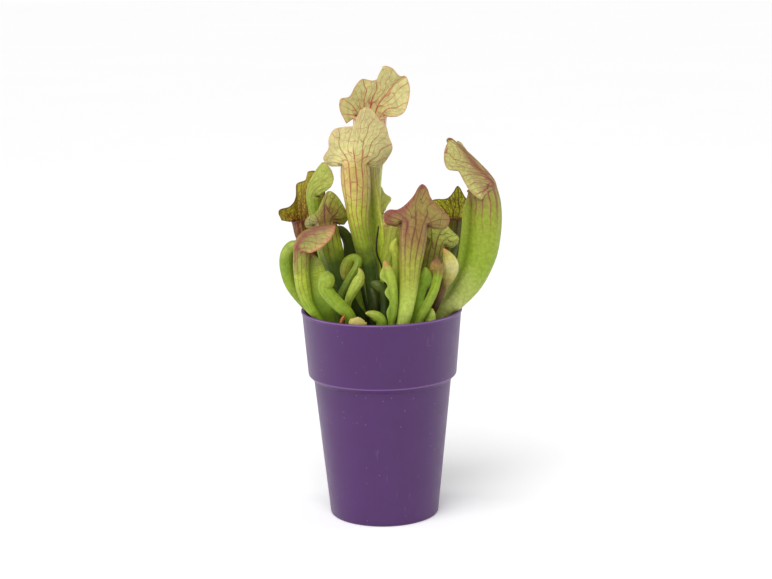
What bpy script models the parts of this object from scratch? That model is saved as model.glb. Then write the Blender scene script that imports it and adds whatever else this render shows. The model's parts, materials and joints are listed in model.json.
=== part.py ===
"""A potted sarracenia: a clump of trumpet pitchers in a tapered plastic pot.

+Z is up and the origin is the middle of the pot's underside. The tables of the plant are in
millimetres, measured on the real object, and MM turns them into Blender's metres.
-Y is the side that the plant is looked at from.
"""

import math
import random

import bmesh
import bpy
import numpy as np

MM = 0.001
GAP = 0.3

# Pot: a straight taper below, a wider straight collar above, and a rolled lip
POT_HEIGHT = 118.0
RIM_RADIUS = 45.0
COLLAR_TOP_RADIUS = 44.6
COLLAR_FOOT_RADIUS = 41.6
COLLAR_FOOT_HEIGHT = 82.5
BODY_TOP_RADIUS = 38.6
BODY_TOP_HEIGHT = 78.4
STEP_HEIGHT = 77.4
BASE_RADIUS = 30.6
WALL = 1.4
FLOOR = 1.6
POT_SIDES = 40
DRAIN_HOLES = 6
DRAIN_SIDES = 8
DRAIN_RADIUS = 3.4
DRAIN_CIRCLE = 19.0

# Soil
SOIL_SEED = 7
SOIL_FOOT_BEVEL = 2.0
SOIL_LEVEL = 107.0
SOIL_RINGS = 5
SOIL_SIDES = 24
SOIL_RELIEF = 1.3
FOOT_DEPTH = 3.5
SOCKET_SIDES = 6

# Rhizome: a knobbly log, half sunk in the soil
RHIZOME = (
    (-13.5, -4.0, 106.4, 2.6),
    (-12.0, -7.5, 107.2, 4.0),
    (-11.0, -11.5, 107.0, 3.4),
    (-10.5, -15.5, 107.3, 4.0),
    (-10.5, -19.0, 106.6, 2.6),
)
RHIZOME_ROWS = 9
RHIZOME_SIDES = 8

# Leaves. Angles are round the tube in degrees from its front, where the wing is.
LEAF_WALL = 0.9
LID_THICKNESS = 0.8
WING_EDGE = 0.35
WING_ROOT = 16.0
SHOULDER = 60.0
NECK_START = 115.0
HORN_ANGLES = (0, 22, 75, 128, 180, 232, 285, 338, 360)
LIP_ROLL = 0.7
RIM_BLEND = 0.22
HOLLOW_ROWS = 4

GREEN = (0.30, 0.47, 0.07)
YELLOW_GREEN = (0.47, 0.55, 0.16)
PALE = (0.58, 0.60, 0.26)
BRONZE = (0.33, 0.20, 0.13)
PINK = (0.52, 0.33, 0.22)
MAROON = (0.18, 0.07, 0.05)
BROWN = (0.20, 0.11, 0.05)
CREAM = (0.62, 0.55, 0.36)
PURPLE = (0.105, 0.043, 0.16)
PEAT = (0.045, 0.028, 0.018)

# Open pitchers. Each station is x, y, z, half width across, half width to the front, and wing.
# The lid's margin is across, up and forward of the back of the mouth, from one lobe to the other.
# Facing is the way that the foot and the mouth look, in degrees from -Y towards +X.
OPEN_PITCHERS = (
    dict(
        name="tall_pitcher_back",
        colour=YELLOW_GREEN,
        facing=(70, 0),
        rise=3.0,
        lift=0.45,
        rows=10,
        stations=(
            (-2.0, 9.0, 103.5, 2.6, 2.6, 0.5),
            (-2.5, 9.5, 112.0, 2.8, 2.8, 1.5),
            (-4.0, 12.0, 135.0, 3.6, 3.8, 4.0),
            (-5.5, 14.5, 160.0, 5.0, 5.0, 8.0),
            (-6.0, 16.5, 188.0, 7.2, 6.8, 4.6),
            (-5.2, 18.0, 208.0, 8.8, 8.0, 1.5),
            (-5.0, 19.0, 221.0, 9.3, 8.6, 0.0),
        ),
        lid=(
            (-14.7, -0.3, 9.0),
            (-18.9, 1.7, 8.5),
            (-21.2, 6.0, 7.0),
            (-22.5, 13.8, 4.5),
            (-21.5, 19.0, 3.2),
            (-20.0, 21.3, 2.5),
            (-16.7, 21.5, 3.0),
            (-12.6, 26.0, 2.8),
            (-7.8, 26.8, 2.0),
            (-7.4, 21.5, 1.5),
            (-2.1, 18.8, 1.0),
            (4.0, 19.8, 1.0),
            (8.0, 15.7, 2.0),
            (11.1, 10.4, 4.0),
            (16.3, 9.2, 6.0),
            (16.2, 3.0, 8.0),
            (13.0, -3.6, 10.0),
        ),
    ),
    dict(
        name="tall_pitcher_front",
        colour=YELLOW_GREEN,
        facing=(180, 180),
        rise=4.0,
        lift=0.35,
        rows=10,
        stations=(
            (-3.5, 0.0, 103.5, 2.6, 2.6, 0.5),
            (-4.0, 0.0, 112.0, 3.0, 3.0, 1.0),
            (-5.8, 1.0, 139.0, 4.1, 4.3, 3.0),
            (-9.2, 1.0, 151.0, 4.8, 5.0, 3.5),
            (-11.9, 0.0, 167.0, 5.9, 6.0, 3.0),
            (-12.5, -1.5, 180.0, 7.3, 7.0, 2.0),
            (-13.2, -3.0, 191.0, 8.1, 7.6, 1.0),
            (-13.4, -4.0, 197.0, 7.7, 7.8, 0.0),
        ),
        lid=(
            (-10.2, -0.8, 9.0),
            (-13.9, -0.8, 9.0),
            (-17.1, 3.7, 8.0),
            (-14.0, 8.9, 6.0),
            (-13.4, 15.0, 5.0),
            (-10.8, 19.7, 4.0),
            (-4.8, 21.1, 3.0),
            (0.1, 22.0, 1.5),
            (2.5, 28.0, 1.5),
            (5.5, 31.4, 2.0),
            (9.7, 30.5, 2.5),
            (13.4, 25.3, 2.0),
            (17.4, 21.1, 2.5),
            (18.7, 15.5, 4.0),
            (20.6, 9.2, 6.0),
            (18.3, 3.3, 8.0),
            (13.6, -2.3, 10.0),
        ),
    ),
    dict(
        name="dark_pitcher_left",
        colour=MAROON,
        facing=(20, 0),
        rise=-1.5,
        lift=0.4,
        rows=8,
        stations=(
            (-18.0, 17.0, 103.5, 2.4, 2.4, 0.4),
            (-19.0, 17.5, 112.0, 2.6, 2.6, 1.0),
            (-27.5, 19.0, 130.0, 3.4, 3.4, 1.6),
            (-37.5, 19.0, 145.0, 4.4, 4.2, 1.6),
            (-42.5, 17.0, 156.0, 5.1, 4.9, 1.5),
            (-44.4, 16.0, 166.0, 5.6, 5.4, 0.0),
        ),
        lid=(
            (-8.8, 5.1, 5.4),
            (-12.8, 11.5, 3.4),
            (-12.9, 20.3, 1.4),
            (-9.7, 26.8, 0.4),
            (-4.1, 27.1, 0.4),
            (-2.6, 22.6, 0.4),
            (2.5, 20.2, 0.9),
            (2.9, 13.8, 1.9),
            (6.3, 8.3, 4.4),
            (12.5, 6.5, 6.4),
            (11.1, 1.3, 8.4),
        ),
    ),
    dict(
        name="pale_pitcher_left",
        colour=GREEN,
        facing=(90, 130),
        rise=1.0,
        lift=0.45,
        rows=8,
        stations=(
            (-15.5, 8.5, 103.5, 2.2, 2.2, 0.4),
            (-16.5, 9.0, 111.0, 2.4, 2.4, 1.0),
            (-24.0, 10.0, 124.0, 2.8, 3.0, 1.5),
            (-30.5, 9.8, 142.0, 3.0, 3.4, 1.5),
            (-34.5, 9.8, 160.0, 3.6, 3.6, 1.0),
            (-36.8, 9.0, 179.0, 4.6, 4.2, 0.0),
        ),
        lid=(
            (-3.0, 4.5, 9.1),
            (-3.8, 8.9, 8.9),
            (-2.8, 13.6, 8.5),
            (0.1, 16.9, 8.8),
            (4.9, 19.8, 8.4),
            (9.5, 16.1, 9.2),
            (11.9, 11.6, 9.0),
            (11.7, 7.3, 7.4),
            (8.1, 4.1, 5.4),
        ),
    ),
    dict(
        name="veined_pitcher_left",
        colour=YELLOW_GREEN,
        facing=(150, 180),
        rise=2.5,
        lift=0.4,
        rows=8,
        stations=(
            (-9.5, 4.0, 103.5, 2.4, 2.4, 0.4),
            (-10.5, 3.5, 111.0, 2.6, 2.6, 1.0),
            (-17.0, 2.0, 121.0, 3.3, 3.2, 2.0),
            (-23.9, 1.5, 136.0, 4.6, 4.2, 2.2),
            (-26.9, 1.5, 149.0, 6.4, 4.9, 1.6),
            (-29.3, 1.5, 160.0, 6.6, 5.4, 0.6),
            (-30.3, 1.0, 165.0, 6.2, 5.6, 0.0),
        ),
        lid=(
            (-7.4, -4.0, 6.0),
            (-10.8, -1.6, 5.0),
            (-9.4, 3.0, 3.0),
            (-4.2, 6.4, 1.0),
            (-0.8, 13.0, 1.5),
            (2.2, 17.6, 2.5),
            (6.2, 16.0, 3.0),
            (10.0, 10.0, 5.5),
            (12.7, 3.0, 8.0),
            (11.2, -1.6, 9.5),
            (8.0, -2.0, 9.0),
        ),
    ),
    dict(
        name="curved_pitcher_left",
        colour=PINK,
        facing=(90, 90),
        rise=1.0,
        lift=0.55,
        rows=9,
        stations=(
            (-30.0, -15.0, 103.5, 2.2, 2.2, 1.5),
            (-31.0, -16.0, 109.0, 2.6, 2.4, 4.5),
            (-34.8, -17.5, 117.0, 3.0, 2.6, 8.5),
            (-39.8, -18.0, 124.5, 3.4, 3.5, 10.4),
            (-42.3, -17.0, 133.5, 4.2, 4.4, 9.8),
            (-43.2, -16.0, 143.0, 4.8, 4.9, 7.7),
            (-43.2, -15.0, 149.0, 4.8, 4.9, 5.0),
            (-43.0, -14.5, 153.0, 4.6, 4.8, 0.0),
        ),
        lid=(
            (-5.0, 4.5, 6.8),
            (-6.5, 8.1, 11.2),
            (-5.0, 10.4, 16.2),
            (-2.5, 12.1, 20.2),
            (0.5, 13.5, 23.0),
            (3.0, 10.4, 22.6),
            (5.0, 6.1, 20.0),
            (6.2, 2.1, 15.3),
            (6.8, -0.3, 9.8),
            (5.2, 0.6, 6.0),
        ),
    ),
    dict(
        name="bronze_pitcher_front",
        colour=BRONZE,
        facing=(180, 180),
        rise=3.0,
        lift=0.35,
        rows=9,
        stations=(
            (9.0, -27.5, 103.5, 2.6, 2.6, 0.4),
            (9.6, -28.5, 110.0, 3.0, 2.9, 0.8),
            (11.4, -31.0, 116.0, 3.5, 3.3, 1.5),
            (12.8, -31.0, 122.0, 4.1, 3.9, 2.0),
            (14.6, -30.0, 133.0, 4.9, 4.7, 2.5),
            (15.8, -28.5, 146.0, 6.0, 5.5, 2.5),
            (17.0, -27.0, 156.0, 7.0, 6.3, 1.5),
            (18.1, -25.0, 166.5, 8.0, 7.2, 0.0),
        ),
        lid=(
            (-9.8, -3.2, 9.2),
            (-15.5, -0.6, 8.5),
            (-16.0, 4.4, 6.5),
            (-13.6, 6.7, 5.0),
            (-8.8, 7.2, 3.0),
            (-4.7, 9.9, 2.0),
            (-0.4, 14.6, 1.5),
            (2.4, 19.3, 2.0),
            (4.6, 20.7, 2.5),
            (7.0, 18.3, 3.0),
            (9.4, 12.2, 3.0),
            (16.6, 4.9, 6.0),
            (18.9, 0.3, 8.0),
            (16.4, -4.8, 9.3),
            (10.7, -5.0, 9.8),
        ),
    ),
    dict(
        name="yellow_pitcher_middle",
        colour=PALE,
        facing=(180, 180),
        rise=2.5,
        lift=0.4,
        rows=7,
        stations=(
            (6.0, -6.5, 103.5, 2.4, 2.4, 0.4),
            (6.0, -6.5, 110.0, 2.8, 2.6, 0.8),
            (4.2, -7.5, 126.0, 3.8, 3.6, 2.0),
            (3.9, -8.5, 141.0, 4.8, 4.6, 2.5),
            (6.0, -9.0, 152.0, 5.2, 4.9, 2.0),
            (9.2, -9.5, 164.5, 5.4, 5.2, 0.0),
        ),
        lid=(
            (-6.5, -4.0, 6.5),
            (-8.3, -0.5, 5.0),
            (-7.7, 3.5, 3.0),
            (-4.5, 5.5, 1.5),
            (-0.5, 7.0, 1.0),
            (3.5, 8.5, 1.5),
            (7.5, 8.0, 2.5),
            (10.0, 4.0, 5.0),
            (9.0, -2.0, 7.0),
        ),
    ),
    dict(
        name="green_pitcher_right",
        colour=YELLOW_GREEN,
        facing=(180, 180),
        rise=2.0,
        lift=0.4,
        rows=7,
        stations=(
            (16.5, -8.0, 103.5, 2.4, 2.4, 0.4),
            (17.5, -8.0, 110.0, 2.6, 2.5, 0.8),
            (22.7, -7.0, 125.0, 3.7, 3.3, 1.5),
            (26.7, -6.5, 140.0, 5.0, 4.2, 2.0),
            (28.9, -6.5, 149.0, 5.5, 4.7, 1.0),
            (30.4, -6.5, 154.0, 5.0, 5.0, 0.0),
        ),
        lid=(
            (-7.5, -2.0, 6.5),
            (-8.5, 3.0, 4.5),
            (-7.0, 8.0, 2.5),
            (-4.0, 12.5, 1.5),
            (0.0, 15.0, 1.5),
            (4.0, 13.0, 2.0),
            (6.5, 8.6, 2.5),
            (9.5, 5.2, 4.0),
            (11.8, 2.6, 5.0),
            (11.8, -0.6, 6.0),
            (9.0, -3.4, 7.5),
        ),
    ),
    dict(
        name="dark_pitcher_right",
        colour=MAROON,
        facing=(0, 0),
        rise=-1.5,
        lift=0.4,
        rows=7,
        stations=(
            (20.0, 9.0, 103.5, 2.4, 2.4, 0.4),
            (21.0, 9.0, 110.0, 2.6, 2.6, 0.8),
            (27.4, 9.0, 127.0, 3.8, 3.4, 1.5),
            (36.2, 9.5, 144.0, 5.6, 4.2, 1.5),
            (39.4, 10.0, 158.0, 5.8, 4.6, 0.8),
            (40.6, 10.0, 166.5, 6.0, 5.0, 0.0),
        ),
        lid=(
            (-9.4, 4.5, 4.0),
            (-9.9, 9.5, 3.0),
            (-6.9, 13.0, 1.0),
            (-3.5, 18.7, 0.5),
            (-0.9, 15.5, 0.5),
            (1.6, 12.5, 0.5),
            (4.6, 11.5, 1.0),
            (8.6, 11.7, 2.0),
            (11.6, 10.8, 4.0),
            (9.4, 6.1, 6.0),
            (5.6, 2.5, 7.0),
        ),
    ),
    dict(
        name="great_pitcher_right",
        colour=GREEN,
        facing=(-90, -90),
        rise=2.0,
        lift=0.22,
        rows=12,
        stations=(
            (28.5, -8.0, 103.5, 3.2, 3.4, 0.6),
            (29.5, -8.0, 109.0, 3.6, 3.8, 1.0),
            (34.6, -8.5, 117.5, 4.2, 4.6, 2.0),
            (41.4, -8.0, 124.0, 5.4, 5.8, 2.6),
            (47.5, -7.0, 131.5, 6.2, 7.0, 3.2),
            (52.6, -6.0, 140.5, 6.9, 8.0, 3.8),
            (56.0, -5.5, 151.0, 7.4, 8.8, 4.0),
            (57.8, -5.0, 164.0, 7.6, 9.2, 4.0),
            (57.9, -5.0, 176.0, 7.4, 8.6, 3.4),
            (56.6, -5.0, 184.5, 7.0, 7.8, 0.4),
        ),
        lid=(
            (-7.6, -3.9, 7.0),
            (-8.6, -6.9, 8.2),
            (-9.0, -6.0, 11.0),
            (-9.0, -2.8, 14.5),
            (-7.8, 2.6, 17.8),
            (-8.0, 8.9, 21.5),
            (-8.0, 9.6, 26.7),
            (-7.0, 14.5, 28.6),
            (-5.5, 20.0, 28.2),
            (-3.4, 24.3, 25.9),
            (-0.6, 24.7, 23.6),
            (2.4, 25.4, 25.4),
            (4.6, 23.4, 26.9),
            (6.5, 20.3, 23.8),
            (8.0, 22.0, 19.0),
            (8.6, 4.0, 10.5),
        ),
    ),
    dict(
        name="pale_pitcher_behind",
        colour=PALE,
        facing=(0, 0),
        rise=2.0,
        lift=0.4,
        rows=7,
        stations=(
            (8.0, 22.0, 103.5, 2.4, 2.4, 0.4),
            (7.8, 22.5, 110.0, 2.6, 2.6, 0.8),
            (4.5, 26.5, 128.0, 3.3, 3.3, 1.5),
            (1.0, 29.5, 146.0, 4.2, 4.1, 1.5),
            (-1.5, 31.0, 164.0, 5.2, 5.0, 0.0),
        ),
        lid=(
            (-5.0, 3.5, 5.0),
            (-7.2, 6.8, 3.0),
            (-8.0, 9.2, 2.0),
            (-4.5, 11.5, 0.0),
            (-2.0, 16.0, 0.0),
            (3.0, 17.0, 0.0),
            (7.5, 12.0, 1.0),
            (9.0, 6.0, 3.0),
            (6.5, 0.0, 6.0),
        ),
    ),
)

# Young pitchers, still closed, in the same stations, hooked towards the way they face
CLOSED_PITCHERS = (
    dict(
        name="hooked_pitcher_left",
        colour=GREEN,
        facing=90,
        rows=12,
        stations=(
            (-27.5, -3.0, 103.5, 2.2, 2.2, 0.4),
            (-29.0, -3.0, 109.0, 2.4, 2.4, 0.6),
            (-38.0, -3.5, 117.0, 2.8, 2.6, 0.8),
            (-45.0, -4.0, 125.0, 3.1, 3.0, 1.0),
            (-50.4, -4.0, 134.0, 3.4, 3.5, 1.0),
            (-52.4, -3.5, 144.0, 3.6, 3.9, 0.8),
            (-51.4, -3.5, 151.0, 3.6, 3.7, 0.3),
            (-48.0, -3.0, 154.6, 3.6, 3.1, 0.0),
            (-45.2, -3.0, 152.0, 3.2, 2.4, 0.0),
            (-44.6, -3.0, 149.0, 2.0, 1.4, 0.0),
        ),
    ),
    dict(
        name="knob_pitcher_front",
        colour=GREEN,
        facing=90,
        rows=13,
        stations=(
            (-13.0, -28.5, 103.5, 2.0, 2.0, 0.3),
            (-13.8, -29.3, 111.0, 2.1, 2.4, 0.3),
            (-17.7, -31.0, 120.6, 2.5, 3.0, 0.3),
            (-22.1, -32.0, 125.6, 2.8, 3.4, 0.3),
            (-26.3, -32.0, 130.0, 3.0, 3.6, 0.3),
            (-29.1, -32.0, 133.8, 3.1, 3.6, 0.2),
            (-31.0, -32.0, 136.9, 3.0, 3.3, 0.0),
            (-29.8, -32.0, 139.2, 3.6, 4.4, 0.0),
            (-29.5, -32.0, 141.1, 3.7, 4.5, 0.0),
            (-29.8, -32.0, 142.9, 3.2, 3.9, 0.0),
            (-30.2, -32.0, 144.4, 2.2, 2.6, 0.0),
        ),
    ),
    dict(
        name="curled_pitcher_middle",
        colour=BRONZE,
        facing=-90,
        rows=14,
        stations=(
            (-21.5, -19.5, 103.5, 1.9, 1.9, 0.3),
            (-22.5, -19.8, 111.0, 1.8, 1.9, 0.3),
            (-23.7, -20.3, 120.5, 1.7, 2.0, 0.4),
            (-21.8, -20.5, 129.4, 1.6, 1.9, 0.5),
            (-19.0, -20.5, 135.2, 1.6, 1.9, 0.5),
            (-15.9, -20.0, 140.7, 1.6, 1.9, 0.3),
            (-13.1, -18.5, 145.3, 1.9, 2.1, 0.1),
            (-12.6, -16.3, 148.5, 2.2, 2.3, 0.0),
            (-15.0, -14.0, 149.0, 2.6, 2.7, 0.0),
            (-17.8, -13.0, 146.4, 2.9, 3.5, 0.0),
            (-19.3, -13.0, 142.4, 2.7, 3.3, 0.0),
            (-19.1, -13.0, 138.2, 2.0, 2.5, 0.0),
            (-18.4, -13.0, 134.9, 0.8, 1.0, 0.0),
        ),
    ),
    dict(
        name="curled_pitcher_low",
        colour=GREEN,
        facing=90,
        rows=10,
        stations=(
            (-17.5, -23.5, 103.5, 1.9, 1.9, 0.3),
            (-18.0, -23.8, 110.0, 1.9, 1.9, 0.3),
            (-18.6, -24.8, 118.5, 1.7, 1.8, 0.4),
            (-18.7, -25.5, 126.0, 1.5, 1.7, 0.5),
            (-17.1, -26.0, 130.8, 1.9, 2.2, 0.5),
            (-14.8, -26.0, 134.9, 2.2, 2.7, 0.3),
            (-12.5, -26.0, 138.4, 2.4, 3.1, 0.1),
            (-11.2, -26.0, 141.3, 2.0, 2.5, 0.0),
            (-11.3, -26.0, 143.8, 1.3, 1.5, 0.0),
            (-11.9, -26.0, 145.8, 0.4, 0.5, 0.0),
        ),
    ),
    dict(
        name="small_pitcher_middle",
        colour=BRONZE,
        facing=-90,
        rows=7,
        stations=(
            (-1.5, -11.0, 103.5, 1.8, 1.8, 0.2),
            (-1.5, -11.0, 112.0, 1.8, 1.8, 0.3),
            (-1.0, -11.5, 122.0, 2.0, 2.0, 0.3),
            (-0.8, -12.0, 128.0, 2.2, 2.1, 0.3),
            (-1.6, -12.0, 131.6, 2.1, 1.8, 0.0),
            (-2.8, -12.0, 133.0, 1.2, 1.0, 0.0),
        ),
    ),
    dict(
        name="stalk_middle_left",
        colour=GREEN,
        facing=-90,
        rows=8,
        stations=(
            (-3.5, -17.0, 103.5, 1.6, 1.6, 0.2),
            (-3.5, -17.5, 112.0, 1.6, 1.6, 0.3),
            (-3.1, -19.0, 119.0, 1.7, 1.6, 0.3),
            (-3.2, -20.0, 125.1, 1.7, 1.6, 0.3),
            (-4.0, -20.0, 129.6, 1.7, 1.6, 0.1),
            (-5.0, -20.0, 132.1, 1.4, 1.3, 0.0),
            (-5.8, -20.0, 133.2, 0.6, 0.5, 0.0),
        ),
    ),
    dict(
        name="stalk_middle_right",
        colour=GREEN,
        facing=-90,
        rows=9,
        stations=(
            (3.0, -22.5, 103.5, 1.6, 1.6, 0.2),
            (3.0, -22.5, 112.0, 1.8, 1.8, 0.3),
            (1.8, -21.5, 118.0, 1.9, 1.9, 0.3),
            (1.8, -20.5, 125.0, 2.0, 2.0, 0.3),
            (1.7, -20.5, 129.6, 2.2, 2.3, 0.2),
            (0.8, -20.5, 132.6, 2.4, 2.8, 0.0),
            (-1.2, -20.5, 134.4, 2.4, 3.0, 0.0),
            (-3.3, -20.5, 135.6, 1.9, 2.5, 0.0),
            (-5.3, -20.5, 136.6, 0.8, 1.1, 0.0),
        ),
    ),
    dict(
        name="bud_pitcher_front",
        colour=GREEN,
        facing=-90,
        rows=9,
        stations=(
            (-1.5, -29.0, 103.5, 1.6, 1.6, 0.2),
            (-0.8, -31.0, 109.5, 1.9, 2.2, 0.2),
            (-0.2, -33.0, 115.0, 2.3, 2.9, 0.0),
            (-0.2, -33.5, 117.6, 2.3, 2.9, 0.0),
            (-1.2, -33.5, 119.4, 2.3, 2.9, 0.0),
            (-3.0, -33.5, 120.7, 2.3, 2.9, 0.0),
            (-5.0, -33.5, 121.7, 2.0, 2.3, 0.0),
            (-7.3, -33.5, 122.3, 1.3, 1.4, 0.0),
            (-8.7, -33.5, 122.4, 0.5, 0.4, 0.0),
        ),
    ),
    dict(
        name="wavy_pitcher_front",
        colour=GREEN,
        facing=-90,
        rows=19,
        stations=(
            (4.0, -30.5, 103.5, 1.6, 1.6, 0.3),
            (4.4, -31.5, 109.0, 1.7, 1.6, 0.4),
            (5.4, -32.5, 116.5, 1.8, 1.5, 0.6),
            (6.4, -32.5, 122.0, 2.0, 2.0, 1.8),
            (6.9, -32.5, 128.0, 2.1, 2.1, 0.4),
            (6.7, -32.0, 133.5, 2.2, 2.3, 2.6),
            (6.2, -31.5, 138.0, 2.3, 2.4, 0.5),
            (4.8, -31.0, 143.5, 2.5, 2.8, 3.0),
            (2.9, -31.0, 148.4, 1.8, 1.6, 0.6),
            (2.0, -31.0, 150.3, 0.9, 0.8, 0.0),
        ),
    ),
    dict(
        name="green_hook_middle",
        colour=GREEN,
        facing=-90,
        rows=10,
        stations=(
            (7.0, -16.5, 103.5, 1.8, 1.8, 0.3),
            (7.2, -17.0, 112.0, 1.8, 1.8, 0.3),
            (7.8, -18.5, 128.0, 1.9, 2.2, 0.3),
            (8.3, -19.5, 138.0, 1.8, 2.2, 0.3),
            (8.6, -19.5, 146.0, 1.8, 2.2, 0.2),
            (8.5, -19.5, 150.5, 1.9, 2.3, 0.0),
            (8.0, -19.5, 153.4, 2.0, 2.6, 0.0),
            (7.4, -19.5, 155.5, 2.0, 2.8, 0.0),
            (7.5, -19.5, 157.6, 1.7, 2.1, 0.0),
            (8.2, -19.5, 159.6, 1.1, 1.2, 0.0),
            (8.7, -19.5, 161.0, 0.5, 0.4, 0.0),
        ),
    ),
    dict(
        name="cream_pitcher_right",
        colour=CREAM,
        facing=-90,
        rows=14,
        stations=(
            (23.5, -16.0, 103.5, 1.6, 1.6, 0.3),
            (24.5, -16.5, 110.0, 1.6, 1.6, 0.3),
            (27.0, -18.6, 116.6, 1.6, 1.6, 0.3),
            (29.3, -20.0, 121.8, 1.6, 1.6, 0.3),
            (30.9, -20.0, 126.3, 2.0, 2.2, 0.3),
            (32.7, -20.0, 131.0, 2.0, 2.2, 0.2),
            (34.2, -20.0, 134.4, 2.0, 2.3, 0.1),
            (35.6, -20.0, 137.0, 2.4, 3.1, 0.0),
            (36.9, -20.0, 139.8, 3.0, 3.8, 0.0),
            (37.8, -20.0, 143.0, 3.4, 4.4, 0.0),
            (37.8, -20.0, 146.4, 3.4, 4.4, 0.0),
            (36.7, -20.0, 149.9, 2.8, 3.3, 0.0),
            (35.4, -20.0, 152.6, 1.8, 1.9, 0.0),
            (34.2, -20.0, 154.6, 0.6, 0.6, 0.0),
        ),
    ),
    dict(
        name="maroon_pitcher_right",
        colour=BRONZE,
        facing=-90,
        rows=14,
        stations=(
            (19.0, -27.5, 103.5, 1.9, 1.9, 0.3),
            (19.3, -28.3, 110.5, 2.0, 2.1, 0.3),
            (21.1, -29.3, 118.0, 2.0, 2.2, 0.3),
            (23.8, -29.3, 123.4, 2.1, 2.3, 0.4),
            (26.5, -29.0, 128.5, 2.1, 2.3, 0.4),
            (28.9, -29.0, 133.8, 2.0, 2.2, 0.4),
            (30.2, -29.0, 138.7, 2.0, 2.3, 0.3),
            (30.8, -29.0, 142.4, 2.2, 2.6, 0.1),
            (30.8, -29.0, 144.8, 2.7, 3.4, 0.0),
            (30.3, -29.0, 146.5, 3.0, 4.4, 0.0),
            (29.8, -29.0, 148.1, 2.6, 3.3, 0.0),
            (30.0, -29.0, 149.9, 1.7, 1.9, 0.0),
            (30.2, -29.0, 151.6, 0.5, 0.6, 0.0),
        ),
    ),
    dict(
        name="green_pitcher_small",
        colour=GREEN,
        facing=90,
        rows=12,
        stations=(
            (16.0, -20.0, 103.5, 1.8, 1.8, 0.3),
            (16.3, -20.0, 110.0, 1.8, 1.9, 0.4),
            (17.3, -20.6, 115.5, 1.9, 2.1, 0.4),
            (18.9, -20.4, 119.9, 2.1, 2.5, 0.4),
            (20.0, -20.4, 123.8, 2.2, 2.8, 0.3),
            (20.4, -20.4, 128.3, 2.1, 2.8, 0.3),
            (21.4, -20.4, 132.2, 2.1, 3.2, 0.1),
            (22.3, -20.6, 134.7, 2.3, 3.5, 0.0),
            (23.4, -20.8, 136.6, 2.6, 3.9, 0.0),
            (23.9, -21.0, 139.4, 2.7, 4.1, 0.0),
            (24.3, -21.0, 141.9, 2.2, 3.1, 0.0),
            (24.2, -21.0, 144.4, 0.9, 0.9, 0.0),
        ),
    ),
    dict(
        name="bud_pitcher_right",
        colour=GREEN,
        facing=-90,
        rows=7,
        stations=(
            (26.0, -23.5, 103.5, 1.5, 1.6, 0.2),
            (26.2, -24.0, 109.5, 1.8, 2.2, 0.2),
            (26.4, -25.0, 115.0, 2.0, 2.8, 0.1),
            (26.7, -25.0, 118.4, 2.0, 2.8, 0.0),
            (27.1, -25.0, 120.8, 1.6, 2.0, 0.0),
            (27.4, -25.0, 122.4, 0.6, 0.7, 0.0),
        ),
    ),
    dict(
        name="dark_hook_behind",
        colour=MAROON,
        facing=-90,
        rows=9,
        stations=(
            (-9.0, 16.5, 103.5, 1.8, 1.8, 0.2),
            (-9.5, 16.5, 112.0, 1.9, 2.2, 0.3),
            (-13.8, 18.5, 130.0, 2.2, 3.4, 0.3),
            (-16.6, 18.5, 144.0, 2.4, 3.8, 0.3),
            (-17.8, 17.5, 152.5, 2.4, 3.2, 0.3),
            (-20.8, 16.0, 158.2, 2.3, 2.8, 0.0),
            (-23.6, 16.0, 159.6, 2.1, 2.6, 0.0),
            (-25.6, 16.0, 157.0, 1.5, 1.9, 0.0),
            (-26.2, 16.0, 154.2, 0.8, 0.9, 0.0),
        ),
    ),
    dict(
        name="young_back_pitcher_1",
        colour=GREEN,
        facing=180,
        rows=8,
        stations=(
            (-9.5, 9.0, 103.5, 1.9, 1.9, 0.3),
            (-10.0, 9.4, 110.0, 2.0, 2.0, 0.5),
            (-12.4, 10.5, 118.0, 2.4, 2.4, 0.9),
            (-14.4, 11.0, 126.0, 2.8, 2.9, 0.8),
            (-15.0, 11.8, 131.4, 2.9, 2.7, 0.2),
            (-15.2, 13.6, 133.2, 2.5, 2.0, 0.0),
            (-15.2, 14.2, 131.8, 1.5, 0.9, 0.0),
        ),
    ),
    dict(
        name="young_back_pitcher_2",
        colour=GREEN,
        facing=150,
        rows=8,
        stations=(
            (14.0, 17.0, 103.5, 1.9, 1.9, 0.3),
            (14.4, 17.5, 110.0, 2.0, 2.0, 0.4),
            (15.6, 20.5, 119.0, 2.3, 2.3, 0.8),
            (17.2, 24.0, 127.0, 2.7, 2.8, 0.7),
            (18.4, 26.4, 132.0, 2.8, 2.5, 0.2),
            (19.6, 28.4, 132.2, 2.4, 1.9, 0.0),
            (20.2, 29.3, 130.0, 1.4, 1.0, 0.0),
        ),
    ),
    dict(
        name="young_back_pitcher_3",
        colour=BRONZE,
        facing=-120,
        rows=8,
        stations=(
            (-33.0, 3.5, 103.5, 1.9, 1.9, 0.3),
            (-33.6, 4.0, 109.0, 2.0, 2.0, 0.4),
            (-37.4, 6.5, 117.5, 2.3, 2.2, 0.7),
            (-42.0, 10.0, 126.0, 2.8, 2.8, 0.7),
            (-44.6, 12.0, 132.0, 2.8, 2.6, 0.2),
            (-46.8, 13.4, 132.4, 2.4, 1.9, 0.0),
            (-47.6, 14.0, 130.0, 1.4, 1.0, 0.0),
        ),
    ),
    dict(
        name="cut_petiole",
        colour=CREAM,
        facing=0,
        rows=7,
        stations=(
            (-9.0, -33.5, 103.5, 2.2, 1.4, 0.2),
            (-10.4, -35.0, 110.0, 3.2, 1.4, 0.2),
            (-12.8, -37.0, 116.0, 4.6, 1.5, 0.2),
            (-12.9, -37.2, 118.4, 4.9, 1.4, 0.0),
            (-12.6, -37.2, 119.8, 3.4, 1.0, 0.0),
            (-12.4, -37.2, 120.9, 1.2, 0.6, 0.0),
        ),
    ),
    dict(
        name="brown_scrap",
        colour=BROWN,
        facing=0,
        rows=6,
        stations=(
            (-21.0, -31.0, 103.5, 1.4, 0.9, 0.1),
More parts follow.
